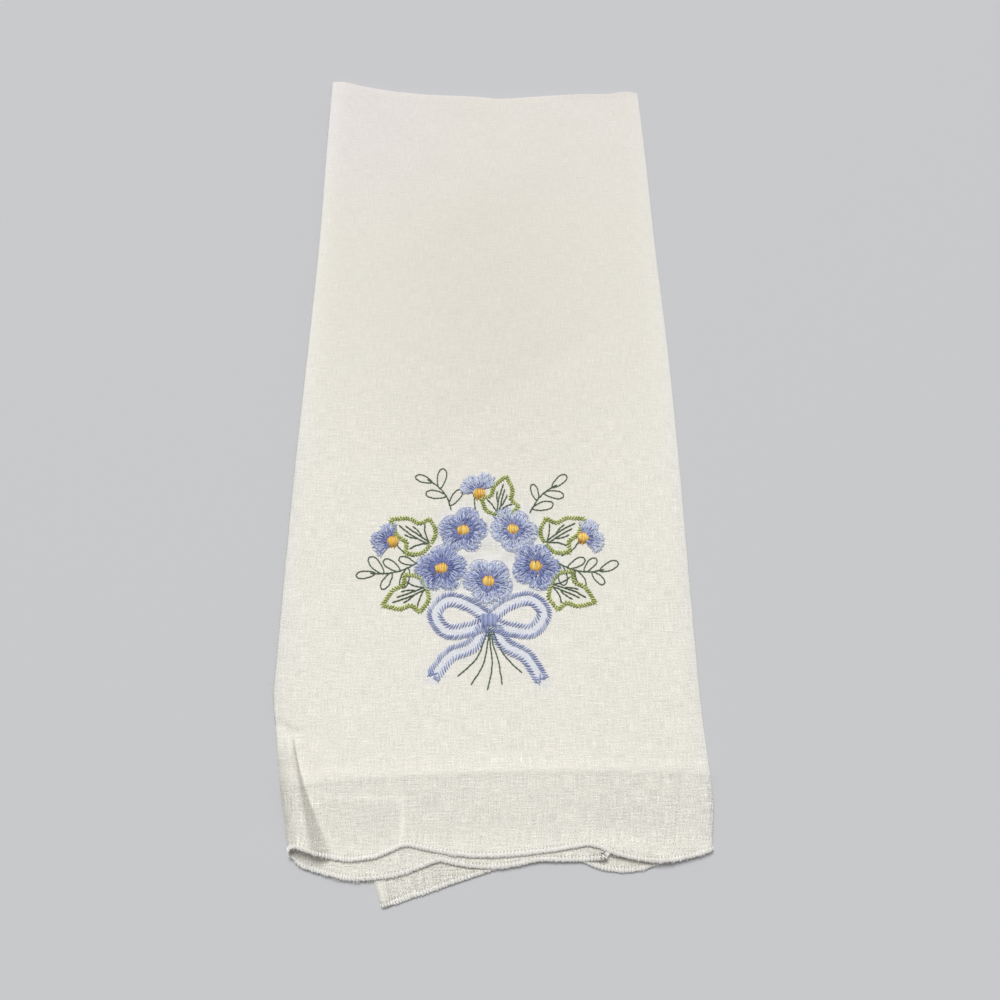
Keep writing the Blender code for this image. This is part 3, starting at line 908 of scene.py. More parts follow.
# A cell of the map for baking: where its walls start and how far they go, along the thread and
# round it, then its first cap's middle and reach, and how far from there the last cap lies
WALLS_START = (0.12, 0.06)
WALLS_SPAN = (0.76, 0.88)
CAP_MIDDLE = (0.045, 0.5)
CAP_REACH = (0.03, 0.3)
CAP_TO_CAP = (0.91, 0.0)
THREAD_PLIES = 2.0
THREAD_FLECKS = 1500.0      # flecks to the metre, and how far they change the shade
FLECK_SHADE = 0.35
PLY_TONE = 0.05             # how much lighter and darker the plies' ridges make the thread
PLY_BUMP = 0.3              # and how strong their bump is, and how deep
PLY_DEPTH = 0.03 * MM
STRAIGHT_UP = np.array([0.0, 0.0, 1.0])


def pointing(angle):
    """Unit vectors at angles."""
    return np.stack([np.cos(angle), np.sin(angle)], axis=-1)


def thread(path, up, radius, cell_steps):
    """Threads along paths: rings of points round each path, joined by quads, with closed ends.

    Returns the points, the quads, and a map with each stretch of `cell_steps` rings unrolled
    in a cell of its own, then one that counts round the thread and along it in millimetres.
    """
    items, rings = path.shape[:2]
    ahead = np.gradient(path, axis=1)
    ahead = ahead / np.linalg.norm(ahead, axis=2, keepdims=True)
    side = np.cross(ahead, up)
    side = side / np.linalg.norm(side, axis=2, keepdims=True)
    top = np.cross(side, ahead)
    angle = 2.0 * math.pi * np.arange(RING_SIDES) / RING_SIDES
    ring = side[:, :, None] * np.cos(angle)[:, None] + top[:, :, None] * np.sin(angle)[:, None]
    points = path[:, :, None] + ring * radius[:, :, None, None]

    index = np.arange(items * rings * RING_SIDES).reshape(items, rings, RING_SIDES)
    after = np.roll(index, -1, axis=2)
    walls = np.stack([index[:, :-1], index[:, 1:], after[:, 1:], after[:, :-1]], axis=-1)
    cap = np.array([[0, 1, 2, 3], [3, 4, 5, 0]])
    starts = index[:, 0][:, cap]
    ends = index[:, -1][:, cap[:, ::-1]]
    quads = np.concatenate([walls.reshape(-1, 4), starts.reshape(-1, 4), ends.reshape(-1, 4)])

    # each wall's place in its cell, then the caps' two halves at the cell's ends
    step = np.arange(items * (rings - 1))
    cell_of_step = step // cell_steps
    place = (step % cell_steps)[:, None, None] + np.array([0, 1, 1, 0])
    round_it = np.arange(RING_SIDES)[:, None] + np.array([0, 0, 1, 1])
    place, round_it = np.broadcast_arrays(place, round_it)
    local = np.stack([WALLS_START[0] + WALLS_SPAN[0] * place / cell_steps,
                      WALLS_START[1] + WALLS_SPAN[1] * round_it / RING_SIDES], axis=-1)
    cap_local = (CAP_MIDDLE + np.array(CAP_REACH) * pointing(angle))[cap]
    first_cell = np.arange(items) * (rings - 1) // cell_steps
    last_cell = (np.arange(1, items + 1) * (rings - 1) - 1) // cell_steps
    across_cells = math.ceil(math.sqrt(cell_of_step[-1] + 1))

    def in_cells(values, cell):
        """Places inside cells as places on the whole map, which is a square of cells."""
        corner = np.stack([cell % across_cells, cell // across_cells], axis=-1)
        return ((values + corner[:, None, None]) / across_cells).reshape(-1, 4, 2)

    cap_ends = (cap_local + CAP_TO_CAP)[:, ::-1]
    cell_map = np.concatenate([
        in_cells(local, cell_of_step),
        in_cells(np.broadcast_to(cap_local, (items, 2, 4, 2)), first_cell),
        in_cells(np.broadcast_to(cap_ends, (items, 2, 4, 2)), last_cell),
    ])
    length = np.linalg.norm(np.diff(path, axis=1), axis=2).cumsum(axis=1)
    length = np.concatenate([np.zeros((items, 1)), length], axis=1).reshape(-1)
    ring_of_corner = quads // RING_SIDES
    round_map = round_it.reshape(-1, 4) / RING_SIDES
    round_map = np.concatenate([round_map, np.zeros((4 * items, 4))])
    strand_map = np.stack([round_map, length[ring_of_corner]], axis=-1)
    return points, quads, cell_map, strand_map


def thread_material(name, tints, roughness, sheen=0.3, ply=0.9):
    """Twisted thread: its tint by each stitch's shade, its plies as slanting ridges.

    The ridges are a sine of the plies' number times the share of the way round, plus the
    length along the thread over `ply`, in millimetres.
    """
    material, shader, start = new_material(name, roughness, sheen)
    strand = start.node("UVMap", {}, uv_map="strand")
    parts = start.node("SeparateXYZ", {"Vector": strand}).socket.node.outputs
    twist = (Shade(parts["X"]) * THREAD_PLIES + Shade(parts["Y"]) / ply).wave(1.0)
    place = start.node("TexCoord", {}, output="Object")
    fleck = place.noise(THREAD_FLECKS, THREAD_FLECKS, 2.0)
    shade = start.mark("shade") + (fleck - 0.5) * FLECK_SHADE
    hue = shade.between(0.0, 0.5).blend(tints[0], tints[1])
    hue = shade.between(0.5, 1.0).blend(hue, tints[2])
    hue.scaled(1.0 + twist * PLY_TONE).feed(shader, "Base Color")
    bump = start.node("Bump", {"Height": twist, "Strength": PLY_BUMP, "Distance": PLY_DEPTH})
    bump.feed(shader, "Normal")
    return material


def thread_piece(name, path, up, radius, cell_steps, shade, material):
    """A piece made of threads along paths, with a shade for each thread or each ring of it."""
    points, quads, cell_map, strand_map = thread(path, up, radius, cell_steps)
    shade = np.repeat(np.broadcast_to(shade, path.shape[:2]).reshape(-1), RING_SIDES)
    return make_piece(name, points, quads, material,
                      {"OFBake": cell_map, "strand": strand_map}, {"shade": shade})


def hem_place(inward, distance):
    """Points on the flat cloth at distances along the scalloped edge, and so far inside it."""
    before = np.clip(distance - LEVEL_ENDS, 0.0, edge_length - 2.0 * LEVEL_ENDS)
    after = before + 2.0 * LEVEL_ENDS
    run = np.interp(after, cut_length, cut) - np.interp(before, cut_length, cut)
    climb = np.interp(after, cut_length, cut_level) - np.interp(before, cut_length, cut_level)
    length = np.hypot(run, climb)
    x = np.interp(distance, cut_length, cut) - climb / length * inward
    return x, np.interp(distance, cut_length, cut_level) + run / length * inward


# The spiral goes round its middle line as a cosine inwards and a sine upwards. `from_middle` is
# each place's share of the needle pitch from the nearest stitch's middle, and the innermost part
# of each turn, the cosine's square, draws together most.
draw = np.random.default_rng(11)
edge_length = cut_length[-1]
edge_turns = int(edge_length / EDGE_TURN)
step = np.arange(edge_turns * EDGE_STEPS + 1)
angle = 2.0 * math.pi * step / EDGE_STEPS
turn_number = step / EDGE_STEPS
ragged = draw.uniform(-1.0, 1.0, (3, edge_turns + 1))
reached, gathered, swelled = (np.interp(turn_number, np.arange(edge_turns + 1), row) for row in ragged)
slow = draw.uniform(-1.0, 1.0, edge_turns // EDGE_WANDER_TURNS + 2)
wander = EDGE_WANDER * np.interp(turn_number / EDGE_WANDER_TURNS, np.arange(len(slow)), slow)
innermost = np.clip(np.cos(angle), 0.0, 1.0) ** 2
gone = turn_number * EDGE_TURN + 0.5 * RAGGED * EDGE_TURN * gathered
from_middle = (gone / NEEDLE_PITCH - FIRST_HOLE) % 1.0 - 0.5
fuller = 1.0 + EDGE_BEAD * np.cos(2.0 * math.pi * from_middle)
gone = gone - EDGE_GATHER * (0.5 + 0.5 * innermost) * from_middle * NEEDLE_PITCH
gone = np.clip(gone, 0.0, edge_length)
tooth = EDGE_TOOTH * innermost * (np.abs(from_middle) < 0.5 / TURNS_TO_HOLE)
reach = EDGE_REACH * (1.0 + RAGGED * reached) * (0.5 + 0.5 * fuller)
inward = EDGE_MIDDLE + reach * np.cos(angle) + tooth + wander
wound = (0.5 * SHEET + EDGE_THREAD) * (1.0 + SWELL_RAGGED * RAGGED * swelled) * fuller * np.sin(angle)
on_top = np.zeros(len(step))
edge_path = lie(*hem_place(inward, gone), on_top, wound)[None]
edge_ahead = (lie(*hem_place(inward, np.minimum(gone + LEVEL_ENDS, edge_length)), on_top, wound)
              - lie(*hem_place(inward, np.maximum(gone - LEVEL_ENDS, 0.0)), on_top, wound))[None]
edge_radius = np.full((1, len(step)), EDGE_THREAD)
edging_tints = (colour(226, 225, 219), colour(246, 245, 240), colour(254, 253, 251))
white_thread = thread_material("edging_thread", edging_tints, roughness=0.7, ply=0.6)
overlock = thread_piece("overlocked_edge", edge_path, edge_ahead, edge_radius, EDGE_STEPS,
                        EDGING_SHADE + EDGING_SHADES * swelled, white_thread)

# Ends of linen threads that the overlocking has not caught, as fine white fuzz along the edge,
# thickest at the tucked third's lowest place.
FUZZ_RADIUS = 0.035
FUZZ_TAPER = (1.2, 0.6)     # its radius at the root, in shares of that, and how much it loses
FUZZ_RINGS = 5
FUZZ_ALL_ROUND = 300
FUZZ_LENGTHS = (0.35, 1.0)
FUZZ_ROOT = 0.25            # how far inside the cut edge the ends start
FUZZ_STRAY = 0.35           # how far they stray along the edge, straight and in a bend
FUZZ_BEND = 0.3
FUZZ_OFF = (-0.1, 0.3)      # where they leave the cloth's thickness, and how far they rise
FUZZ_RISE = (-0.15, 0.25)
FUZZ_SHADE = 0.7
TUFT_LONGER = 1.25          # how much longer the ends in the tufts are
Tuft = namedtuple("Tuft", "middle width count")
TUFTS = (Tuft(-82.0, 1.6, 16), Tuft(-88.5, 1.3, 20), Tuft(-95.0, 2.5, 14), Tuft(97.0, 6.0, 14))
at_edge = [draw.uniform(TUCKED_END, LOOSE_END, FUZZ_ALL_ROUND)]
for tuft in TUFTS:
    at_edge.append(draw.normal(tuft.middle, tuft.width, tuft.count))
fuzz_start = np.interp(np.concatenate(at_edge), cut, cut_length)[:, None]
count = len(fuzz_start)
t = np.linspace(0.0, 1.0, FUZZ_RINGS)
fuzz_length = draw.uniform(*FUZZ_LENGTHS, (count, 1))
fuzz_length[FUZZ_ALL_ROUND:] *= TUFT_LONGER
fuzz_in = FUZZ_ROOT - fuzz_length * t
fuzz_gone = fuzz_start + draw.normal(0.0, FUZZ_STRAY, (count, 1)) * t
fuzz_gone = fuzz_gone + draw.normal(0.0, FUZZ_BEND, (count, 1)) * t ** 2
fuzz_off = draw.uniform(*FUZZ_OFF, (count, 1)) + draw.uniform(*FUZZ_RISE, (count, 1)) * t
fuzz_path = lie(*hem_place(fuzz_in, fuzz_gone), np.zeros((count, FUZZ_RINGS)), fuzz_off)
fuzz_radius = FUZZ_RADIUS * (FUZZ_TAPER[0] - FUZZ_TAPER[1] * t) * np.ones((count, 1))
fuzz = thread_piece("edge_fuzz", fuzz_path, STRAIGHT_UP, fuzz_radius, FUZZ_RINGS - 1,
                    FUZZ_SHADE, white_thread)

# ---------------------------------------------------------------------------------------------
# The embroidery's stitches: short lengths of thread that come up through the cloth, arch over
# it and go down again. A row is a stitch: where it starts and ends on the front, how high it
# lies, how far it arches, its radius and its shade.
Stitches = namedtuple("Stitches", "x y to_x to_y base arch radius shade")
STITCH_RINGS = 4
FLOSS = 0.17                # radius of the embroidery floss
ARCH = 0.22                 # how high a satin stitch arches
LINE_ARCH = 0.1             # and one of a line of stitches, which lies this high
LINE_BASE = 0.05
LINE_OVERLAP = 0.26         # how far that one starts before the last one's end
LINE_STRAY = 0.05           # how far it strays sideways, and in its shade
LINE_SHADES = 0.2
SATIN_SPREAD = 0.12         # how far a satin stitch's length strays, as a share, and its shade
SATIN_SHADES = 0.3
AHEAD_REACH = 0.3           # how far to each side a line's direction is read


def stitches(start, end, base, arch, radius, shade):
    """One row for each stitch from a start to an end, with the same or their own heights."""
    start, end = np.asarray(start), np.asarray(end)
    columns = np.broadcast_arrays(start[:, 0], start[:, 1], end[:, 0], end[:, 1], base, arch,
                                  radius, shade)
    return np.stack(columns, axis=1)


def sew(name, rows, material):
    """A piece of embroidery: each stitch's height is arch times 1 - (2 t - 1)^4 along it.

    Its ends sink half a radius into the cloth and are 0.7 of its radius thick.
    """
    rows = Stitches(*np.concatenate(rows).T[:, :, None])
    t = np.linspace(0.0, 1.0, STITCH_RINGS)
    lift = 1.0 - (2.0 * t - 1.0) ** 4
    x = rows.x + (rows.to_x - rows.x) * t
    y = rows.y + (rows.to_y - rows.y) * t
    off = 0.5 * SHEET + (rows.base + rows.arch) * lift - 0.5 * rows.radius * (1.0 - lift)
    path = lie(x, y, np.zeros(x.shape), off)
    radius = rows.radius * (0.7 + 0.3 * lift)
    return thread_piece(name, path, STRAIGHT_UP, radius, STITCH_RINGS - 1, rows.shade,
                        material)


def left_of(direction):
    """The same directions turned a quarter to the left."""
    return np.stack([-direction[..., 1], direction[..., 0]], axis=-1)


def spaced(path, pitch):
    """Points a pitch apart along a line of points, and the line's direction at each."""
    path = np.asarray(path, dtype=float)
    gone = np.concatenate([[0.0], np.hypot(*np.diff(path, axis=0).T).cumsum()])
    count = max(int(gone[-1] / pitch), 1)
    places = (np.arange(count) + 0.5) * gone[-1] / count

    def at(distance):
        """The line's points at distances along it."""
        return np.stack([np.interp(distance, gone, values) for values in path.T], axis=1)

    ahead = at(places + AHEAD_REACH) - at(places - AHEAD_REACH)
    return at(places), ahead / np.linalg.norm(ahead, axis=1, keepdims=True)


def smooth_path(points, steps=24):
    """A smooth curve through points: Catmull-Rom cubics between each two of them."""
    points = np.asarray(points, dtype=float)
    points = np.concatenate([2 * points[:1] - points[1:2], points, 2 * points[-1:] - points[-2:-1]])
    t = np.linspace(0.0, 1.0, steps, endpoint=False)[:, None, None]
    a, b, c, d = points[:-3], points[1:-2], points[2:-1], points[3:]
    curve = 0.5 * (2 * b + (c - a) * t + (2 * a - 5 * b + 4 * c - d) * t ** 2
                   + (3 * b - a - 3 * c + d) * t ** 3)
    curve = curve.transpose(1, 0, 2).reshape(-1, 2)
    return np.concatenate([curve, points[-2:-1]])


def running(path, length=1.3, radius=FLOSS, shade=0.5):
    """Stitches along a line, each starting well before the last one ends."""
    places, ahead = spaced(path, length)
    half = 0.5 * length + LINE_OVERLAP
    beside = left_of(ahead) * draw.normal(0.0, LINE_STRAY, (len(places), 1))
    shade = shade + draw.uniform(-LINE_SHADES, LINE_SHADES, len(places))
    start = places - ahead * half + beside
    end = places + ahead * half + beside
    return stitches(start, end, LINE_BASE, LINE_ARCH, radius, shade)


def satin(path, width, pitch, slant, shade, base, radius):
    """Stitches side by side over a line, each from one edge of the column to the other."""
    places, ahead = spaced(path, pitch)
    beside = left_of(ahead)
    half = 0.5 * width * (1.0 + draw.uniform(-SATIN_SPREAD, SATIN_SPREAD, (len(places), 2)))
    lean = ahead * slant * width * 0.5
    start = places - beside * half[:, :1] - lean
    end = places + beside * half[:, 1:] + lean
    shade = shade + draw.uniform(-SATIN_SHADES, SATIN_SHADES, len(places))
    return stitches(start, end, base, ARCH, radius, shade)


# ---------------------------------------------------------------------------------------------
# The blossoms: round ones of five uneven petals, in rings of short stitches of blue floss that
# are deep round the centre and pale at the rim, and half-open ones at the ends of stems.
Ring = namedtuple("Ring", "name near far base shade layers")
RINGS = (
    Ring("rim", 0.76, 1.00, 0.05, 0.74, 1.9),
    Ring("outer", 0.60, 0.88, 0.12, 0.56, 1.7),
    Ring("middle", 0.42, 0.74, 0.20, 0.34, 1.6),
    Ring("deep", 0.16, 0.58, 0.28, 0.10, 1.7),
    # pale stitches here and there: painted highlights on the floss
    Ring("lights", 0.44, 0.84, 0.33, 0.90, 0.42),
)
PETALS = 5
PETAL_CUT = 0.30            # how far the rim is cut in between the petals, as a share
PETAL_SWAY = 0.18           # how far a slow wave shifts the petals round the centre
PETAL_UNEVEN = (0.06, 0.04) # how far two slow waves change their length, as shares
PETAL_PITCH = 0.37          # between the stitches of one layer
PETAL_FLOSS = 0.155
PETAL_SKEW = 0.10           # how far the stitches stray from pointing outwards
PETAL_ENDS = 0.045          # how unevenly they begin and end
PETAL_SHADES = 0.21         # how much their shades differ
PETAL_LOOSE = 0.12          # how much their heights differ
PETAL_ARCH = 0.18
RIM_POINTS = 240
OUTLINE_OFF = 0.12          # how far the pale outline stands off the petals, and how unevenly
OUTLINE_STRAY = 0.22
Bud = namedtuple("Bud", "right up aim size turn pale")
BUDS = (
    Bud(-3.4, 28.4, 104.0, 7.6, 0.0, 0.36),
    Bud(-31.0, 11.6, 158.0, 7.0, 0.4, 0.04),
    Bud(30.6, 13.2, 22.0, 7.2, 0.8, 0.30),
)
BUD_OPEN = 1.3              # half the angle of a half-open blossom


def on_front(right, up):
    """A place in the posy as a place on the cloth."""
    return np.stack(np.broadcast_arrays(right, np.asarray(up) + POSY_LEVEL), axis=-1)


def posy_line(points):
    """A smooth line through places in the posy, on the cloth."""
    return smooth_path(on_front(*np.transpose(points)))


def rim_of(row, angle):
    """The petals' rim: the root of a cosine's size, with slow waves in its angle and in its size.

    The waves are sines of once, twice and three times the angle, and differ with the blossom.
    """
    turned = angle - row.turn + PETAL_SWAY * np.sin(angle + 5.0 * row.turn)
    lobe = np.abs(np.cos(0.5 * PETALS * turned)) ** 0.5
    uneven = 1.0 + PETAL_UNEVEN[0] * np.sin(2.0 * angle + 3.0 * row.turn)
    uneven = uneven + PETAL_UNEVEN[1] * np.sin(3.0 * angle + row.right)
    return row.size * (1.0 - PETAL_CUT + PETAL_CUT * lobe) * uneven


def petals(row, start, end):
    """Rings of stitches between two angles, from near the centre out to the rim."""
    centre = on_front(row.right, row.up)
    rows = []
    for ring in RINGS:
        arc = (end - start) * row.size * 0.5 * (ring.near + ring.far)
        count = int(ring.layers * arc / PETAL_PITCH)
        angle = start + (end - start) * (np.arange(count) + draw.uniform(0.0, 1.0, count)) / count
        rim = rim_of(row, angle)
        near = rim * (ring.near + draw.uniform(-PETAL_ENDS, PETAL_ENDS, count))
        far = rim * (ring.far + draw.uniform(-PETAL_ENDS, PETAL_ENDS, count))
        first, second = draw.normal(0.0, PETAL_SKEW, (2, count))
        shade = ring.shade + row.pale + draw.normal(0.0, PETAL_SHADES, count)
        base = ring.base + draw.uniform(0.0, PETAL_LOOSE, count)
        rows.append(stitches(centre + near[:, None] * pointing(angle + first),
                             centre + far[:, None] * pointing(angle + second),
                             base, PETAL_ARCH, PETAL_FLOSS, shade))
    return np.concatenate(rows)


def outline(row):
    """A thin pale line that stands off the petals here and there, by a sine of the angle."""
    angle = np.linspace(0.0, 2.0 * math.pi, RIM_POINTS)
    off = OUTLINE_OFF + OUTLINE_STRAY * np.sin(2.0 * angle + row.up)
    rim = on_front(row.right, row.up) + (rim_of(row, angle) + off)[:, None] * pointing(angle)
    return running(rim, length=1.2, radius=0.09, shade=0.9)


blue_tints = (colour(108, 120, 180), colour(152, 164, 208), colour(214, 221, 238))
blue_thread = thread_material("blue_thread", blue_tints, roughness=0.5)
rows = [petals(row, 0.0, 2.0 * math.pi) for row in BLOSSOMS] + [outline(row) for row in BLOSSOMS]
for row in BUDS:
    aim = math.radians(row.aim)
    rows.append(petals(row, aim - BUD_OPEN, aim + BUD_OPEN))
blossoms = sew("blossoms", rows, blue_thread)

# The centres: upright satin stitches of gold floss over a small oval, with darker ones below
# that show between them and at its two ends as painted shade.
CENTRE_WIDE = 0.235         # half its width and its height, in blossoms' sizes
CENTRE_HIGH = 0.33
CENTRE_REACH = 0.94         # the share of the half width that the outermost stitches lie at
CENTRE_LONGER = 0.15        # what each half of a stitch is longer by
CENTRE_LENGTHS = (0.72, 1.1)
CENTRE_STRAY = 0.07         # how far the stitches stray sideways, lean, and differ in shade
CENTRE_LEAN = 0.12
CENTRE_SHADES = (-0.3, 0.4)
CENTRE_FLOSS = 0.16
Layer = namedtuple("Layer", "name longer base shade pitch")
CENTRE_LAYERS = (
    Layer("below", 1.12, 0.34, 0.02, 0.28),
    Layer("above", 0.86, 0.46, 0.60, 0.36),
)
rows = []
for row in BLOSSOMS + BUDS:
    half_width, half_height = CENTRE_WIDE * row.size, CENTRE_HIGH * row.size
    for layer in CENTRE_LAYERS:
        x = np.linspace(-CENTRE_REACH, CENTRE_REACH, int(2.0 * half_width / layer.pitch))
        height = half_height * layer.longer * (1.0 - x ** 4) ** 0.5
        height = height * draw.uniform(*CENTRE_LENGTHS, len(x)) + CENTRE_LONGER
        x = x * half_width + draw.normal(0.0, CENTRE_STRAY, len(x))
        lean = draw.normal(0.0, CENTRE_LEAN, len(x))
        low = on_front(row.right + x - lean, row.up - height)
        high = on_front(row.right + x + lean, row.up + height)
        shade = layer.shade + draw.uniform(*CENTRE_SHADES, len(x))
        rows.append(stitches(low, high, layer.base, ARCH, CENTRE_FLOSS, shade))
gold_tints = (colour(214, 152, 50), colour(252, 205, 82), colour(255, 236, 146))
gold_thread = thread_material("gold_thread", gold_tints, roughness=0.45)
centres = sew("centres", rows, gold_thread)

# ---------------------------------------------------------------------------------------------
# The leaves: three-pointed, outlined in narrow columns of lime floss, whose slanting stitches
# lie a little apart over darker ones: painted shade in the gaps between them.
COLUMN = 1.7                # width of the narrow columns
COLUMN_BASE = 0.08          # height of their stitches over the cloth
UNDER_COLUMN = 0.8          # width of those below, as a share, and their height
UNDER_BASE = -0.04
SLANT = 0.75                # how far their stitches lean
STROKE = 0.21               # radius of their floss
LIME_PITCH = 0.84
LIME_SHADE = 0.64
# the dark stitches below stand for the shade in the gaps between the raised ones
LIME_UNDER_SHADE = 0.0
Leaf = namedtuple("Leaf", "right up aim length")
LEAVES = (
    Leaf(-18.5, 10.5, 148.0, 16.0),
    Leaf(18.0, 11.0, 33.0, 15.8),
    Leaf(-19.5, -3.5, 203.0, 15.0),
    Leaf(19.5, -2.5, -22.0, 15.4),
    Leaf(2.6, 20.5, 78.0, 14.4),
)
# One side of a leaf's edge, in shares of its length: places along its middle and beside it
LEAF_LOBE = ((0.02, 0.02), (0.08, 0.27), (0.34, 0.44))
LEAF_TIP = ((0.34, 0.44), (0.46, 0.24), (0.70, 0.21), (1.0, 0.0))
LEAF_VEINS = (
    ((0.04, 0.02), (0.45, 0.05), (0.78, 0.02)),
    ((0.06, -0.02), (0.40, -0.03), (0.66, -0.04)),
    ((0.08, 0.02), (0.24, 0.17), (0.33, 0.30)),
    ((0.08, -0.02), (0.26, -0.15), (0.35, -0.28)),
    ((0.30, 0.04), (0.44, 0.10), (0.58, 0.12)),
    ((0.26, -0.04), (0.40, -0.10), (0.54, -0.12)),
)


def column(path, slant, pitch, shade, under=None):
    """A narrow column of slanting stitches, over others the other way if a shade is given."""
    rows = [satin(path, COLUMN, pitch, slant, shade, COLUMN_BASE, STROKE)]
    if under is not None:
        narrow = UNDER_COLUMN * COLUMN
        rows.append(satin(path, narrow, pitch, -slant, under, UNDER_BASE, STROKE))
    return np.concatenate(rows)


def on_leaf(row, places, side=1.0):
    """Places in shares of a leaf's length as places on the cloth, on one side or the other."""
    places = np.asarray(places) * row.length
    ahead = pointing(math.radians(row.aim))
    beside = left_of(ahead) * side
    return on_front(row.right, row.up) + places[:, :1] * ahead + places[:, 1:] * beside


rows = []
for row in LEAVES:
    for side in (1.0, -1.0):
        for part in (LEAF_LOBE, LEAF_TIP):
            edge = smooth_path(on_leaf(row, part, side))
            rows.append(column(edge, SLANT * side, LIME_PITCH, LIME_SHADE, LIME_UNDER_SHADE))
lime_tints = (colour(106, 122, 50), colour(176, 189, 90), colour(222, 229, 156))
lime_thread = thread_material("lime_thread", lime_tints, roughness=0.48)
leaves = sew("leaves", rows, lime_thread)

# ---------------------------------------------------------------------------------------------
# The sprigs, the veins and the stems: lines of dark green floss, the sprigs with leaflets in
# outline on both sides of a bent stem.
LINE = 0.24                 # radius of these lines
LEAFLET_TURN = 0.9          # the angle of a leaflet from its stem, and of the one at the end
LAST_LEAFLET_TURN = 0.2
LEAFLET_SIZES = (0.82, 1.08)
LEAFLET_BELLY = 0.20        # half its width, as a share of its length
LEAFLET_FULLER = 0.30       # how much fuller it is towards its tip
LEAFLET_POINTS = 28
STEM_POINTS = 30
Sprig = namedtuple("Sprig", "right up to_right to_up bend leaflets size")
SPRIGS = (
    Sprig(-22.5, 4.8, -37.5, 1.0, 0.10, 6, 6.6),
    Sprig(22.0, 4.8, 37.0, 2.4, -0.12, 6, 6.4),
    Sprig(-12.5, 22.5, -20.5, 33.0, -0.12, 4, 6.6),
    Sprig(13.5, 21.5, 22.5, 31.5, 0.10, 4, 6.6),
)
STEMS = (
    ((0.0, -14.5), (-1.4, -20.0), (-4.0, -26.0), (-9.4, -31.0)),
    ((0.2, -14.5), (-0.4, -21.0), (-1.8, -27.5), (-5.4, -33.5)),
    ((0.3, -14.5), (0.4, -21.0), (1.0, -28.0), (-0.4, -35.0)),
    ((0.4, -14.5), (1.2, -21.0), (3.0, -27.0), (4.0, -33.5)),
    ((0.6, -14.5), (2.2, -20.0), (5.4, -25.5), (10.0, -30.0)),
    ((-4.5, 22.5), (-4.8, 26.0), (-3.8, 29.0)),
    ((-24.0, 6.5), (-27.5, 8.2), (-30.5, 11.2)),
    ((23.5, 7.0), (27.0, 9.0), (30.0, 12.6)),
)


def leaflet(foot, out, size):
    """A closed drop: its width is that of a sine, fuller towards its tip by a cosine."""
    u = np.linspace(0.0, 2.0 * math.pi, LEAFLET_POINTS)[:, None]
    belly = LEAFLET_BELLY * size * np.sin(u) * (1.0 - LEAFLET_FULLER * np.cos(u))
    return foot + out * 0.5 * size * (1.0 - np.cos(u)) + left_of(out) * belly


def sprig_stitches(row):
    """The stem as a parabola, and leaflets on alternate sides of it."""
    start = on_front(row.right, row.up)
    end = on_front(row.to_right, row.to_up)
    along = end - start
    t = np.linspace(0.0, 1.0, STEM_POINTS)[:, None]
    stem = start + along * t + left_of(along) * row.bend * 4.0 * t * (1.0 - t)
    rows = [running(stem, length=1.4, radius=LINE, shade=0.4)]
    places, ahead = spaced(stem, np.linalg.norm(along) / row.leaflets)
    for number, (place, direction) in enumerate(zip(places, ahead)):
        side = 1.0 if number % 2 else -1.0
        last = number == len(places) - 1
        turn_by = side * (LAST_LEAFLET_TURN if last else LEAFLET_TURN)
        out = direction * math.cos(turn_by) + left_of(direction) * math.sin(turn_by)
        drop = leaflet(place, out, row.size * draw.uniform(*LEAFLET_SIZES))
        rows.append(running(drop, length=1.1, radius=0.9 * LINE, shade=0.42))
    return np.concatenate(rows)


rows = [sprig_stitches(row) for row in SPRIGS]
for row in LEAVES:
    for vein in LEAF_VEINS:
        line = smooth_path(on_leaf(row, vein))
        rows.append(running(line, length=1.2, radius=1.1 * LINE, shade=0.35))
for stem in STEMS:
    rows.append(running(posy_line(stem), length=1.4, radius=LINE, shade=0.45))
dark_tints = (colour(58, 80, 54), colour(86, 106, 76), colour(128, 143, 112))
dark_thread = thread_material("dark_green_thread", dark_tints, roughness=0.5)
sprigs = sew("sprigs", rows, dark_thread)

# ---------------------------------------------------------------------------------------------
# The ribbon: a bow round the stems, its two edges in narrow columns of blue floss over the
# bare linen, with a knot in satin stitch.
RIBBON = 3.3                # between the middles of the ribbon's two edges
RIBBON_STEP = 0.4           # between the places that its edges are worked out at
DENSE = 0.76                # pitch of the stitches along its outer edge, and along its inner one
OPEN = 0.94
DENSE_SHADE = 0.60
OPEN_SHADE = 0.46
NOTCH = 1.3                 # how far the tails' ends are drawn in
KNOT_LEVEL = -14.2
KNOT_REACH = 2.4            # half the knot's width, and its height
KNOT_HIGH = 5.2
KNOT_PITCH = 0.30
KNOT_POINTS = 12
KNOT_SHADE = 0.50
KNOT_BASE = 0.30
LOOPS = (
    ((-0.4, -13.0), (-6.5, -9.0), (-13.2, -7.6), (-17.0, -12.2),
     (-13.2, -17.4), (-6.5, -17.0), (-0.4, -14.8)),
    ((0.4, -14.8), (6.5, -16.8), (13.6, -17.2), (17.4, -11.8),
     (13.4, -7.2), (6.5, -8.6), (0.4, -13.0)),
)
TAILS = (
    ((-1.4, -16.0), (-5.4, -22.0), (-12.0, -24.8), (-17.4, -31.5)),
    ((16.4, -32.6), (11.6, -25.2), (5.2, -21.6), (1.4, -16.0)),
)


def ribbon_stitches(points):
    """A dense column along the ribbon's outer edge, and an open one along its inner edge."""
    places, ahead = spaced(posy_line(points), RIBBON_STEP)
    beside = left_of(ahead) * 0.5 * RIBBON
    return np.concatenate([column(places - beside, SLANT, DENSE, DENSE_SHADE),
                           column(places + beside, SLANT, OPEN, OPEN_SHADE)])


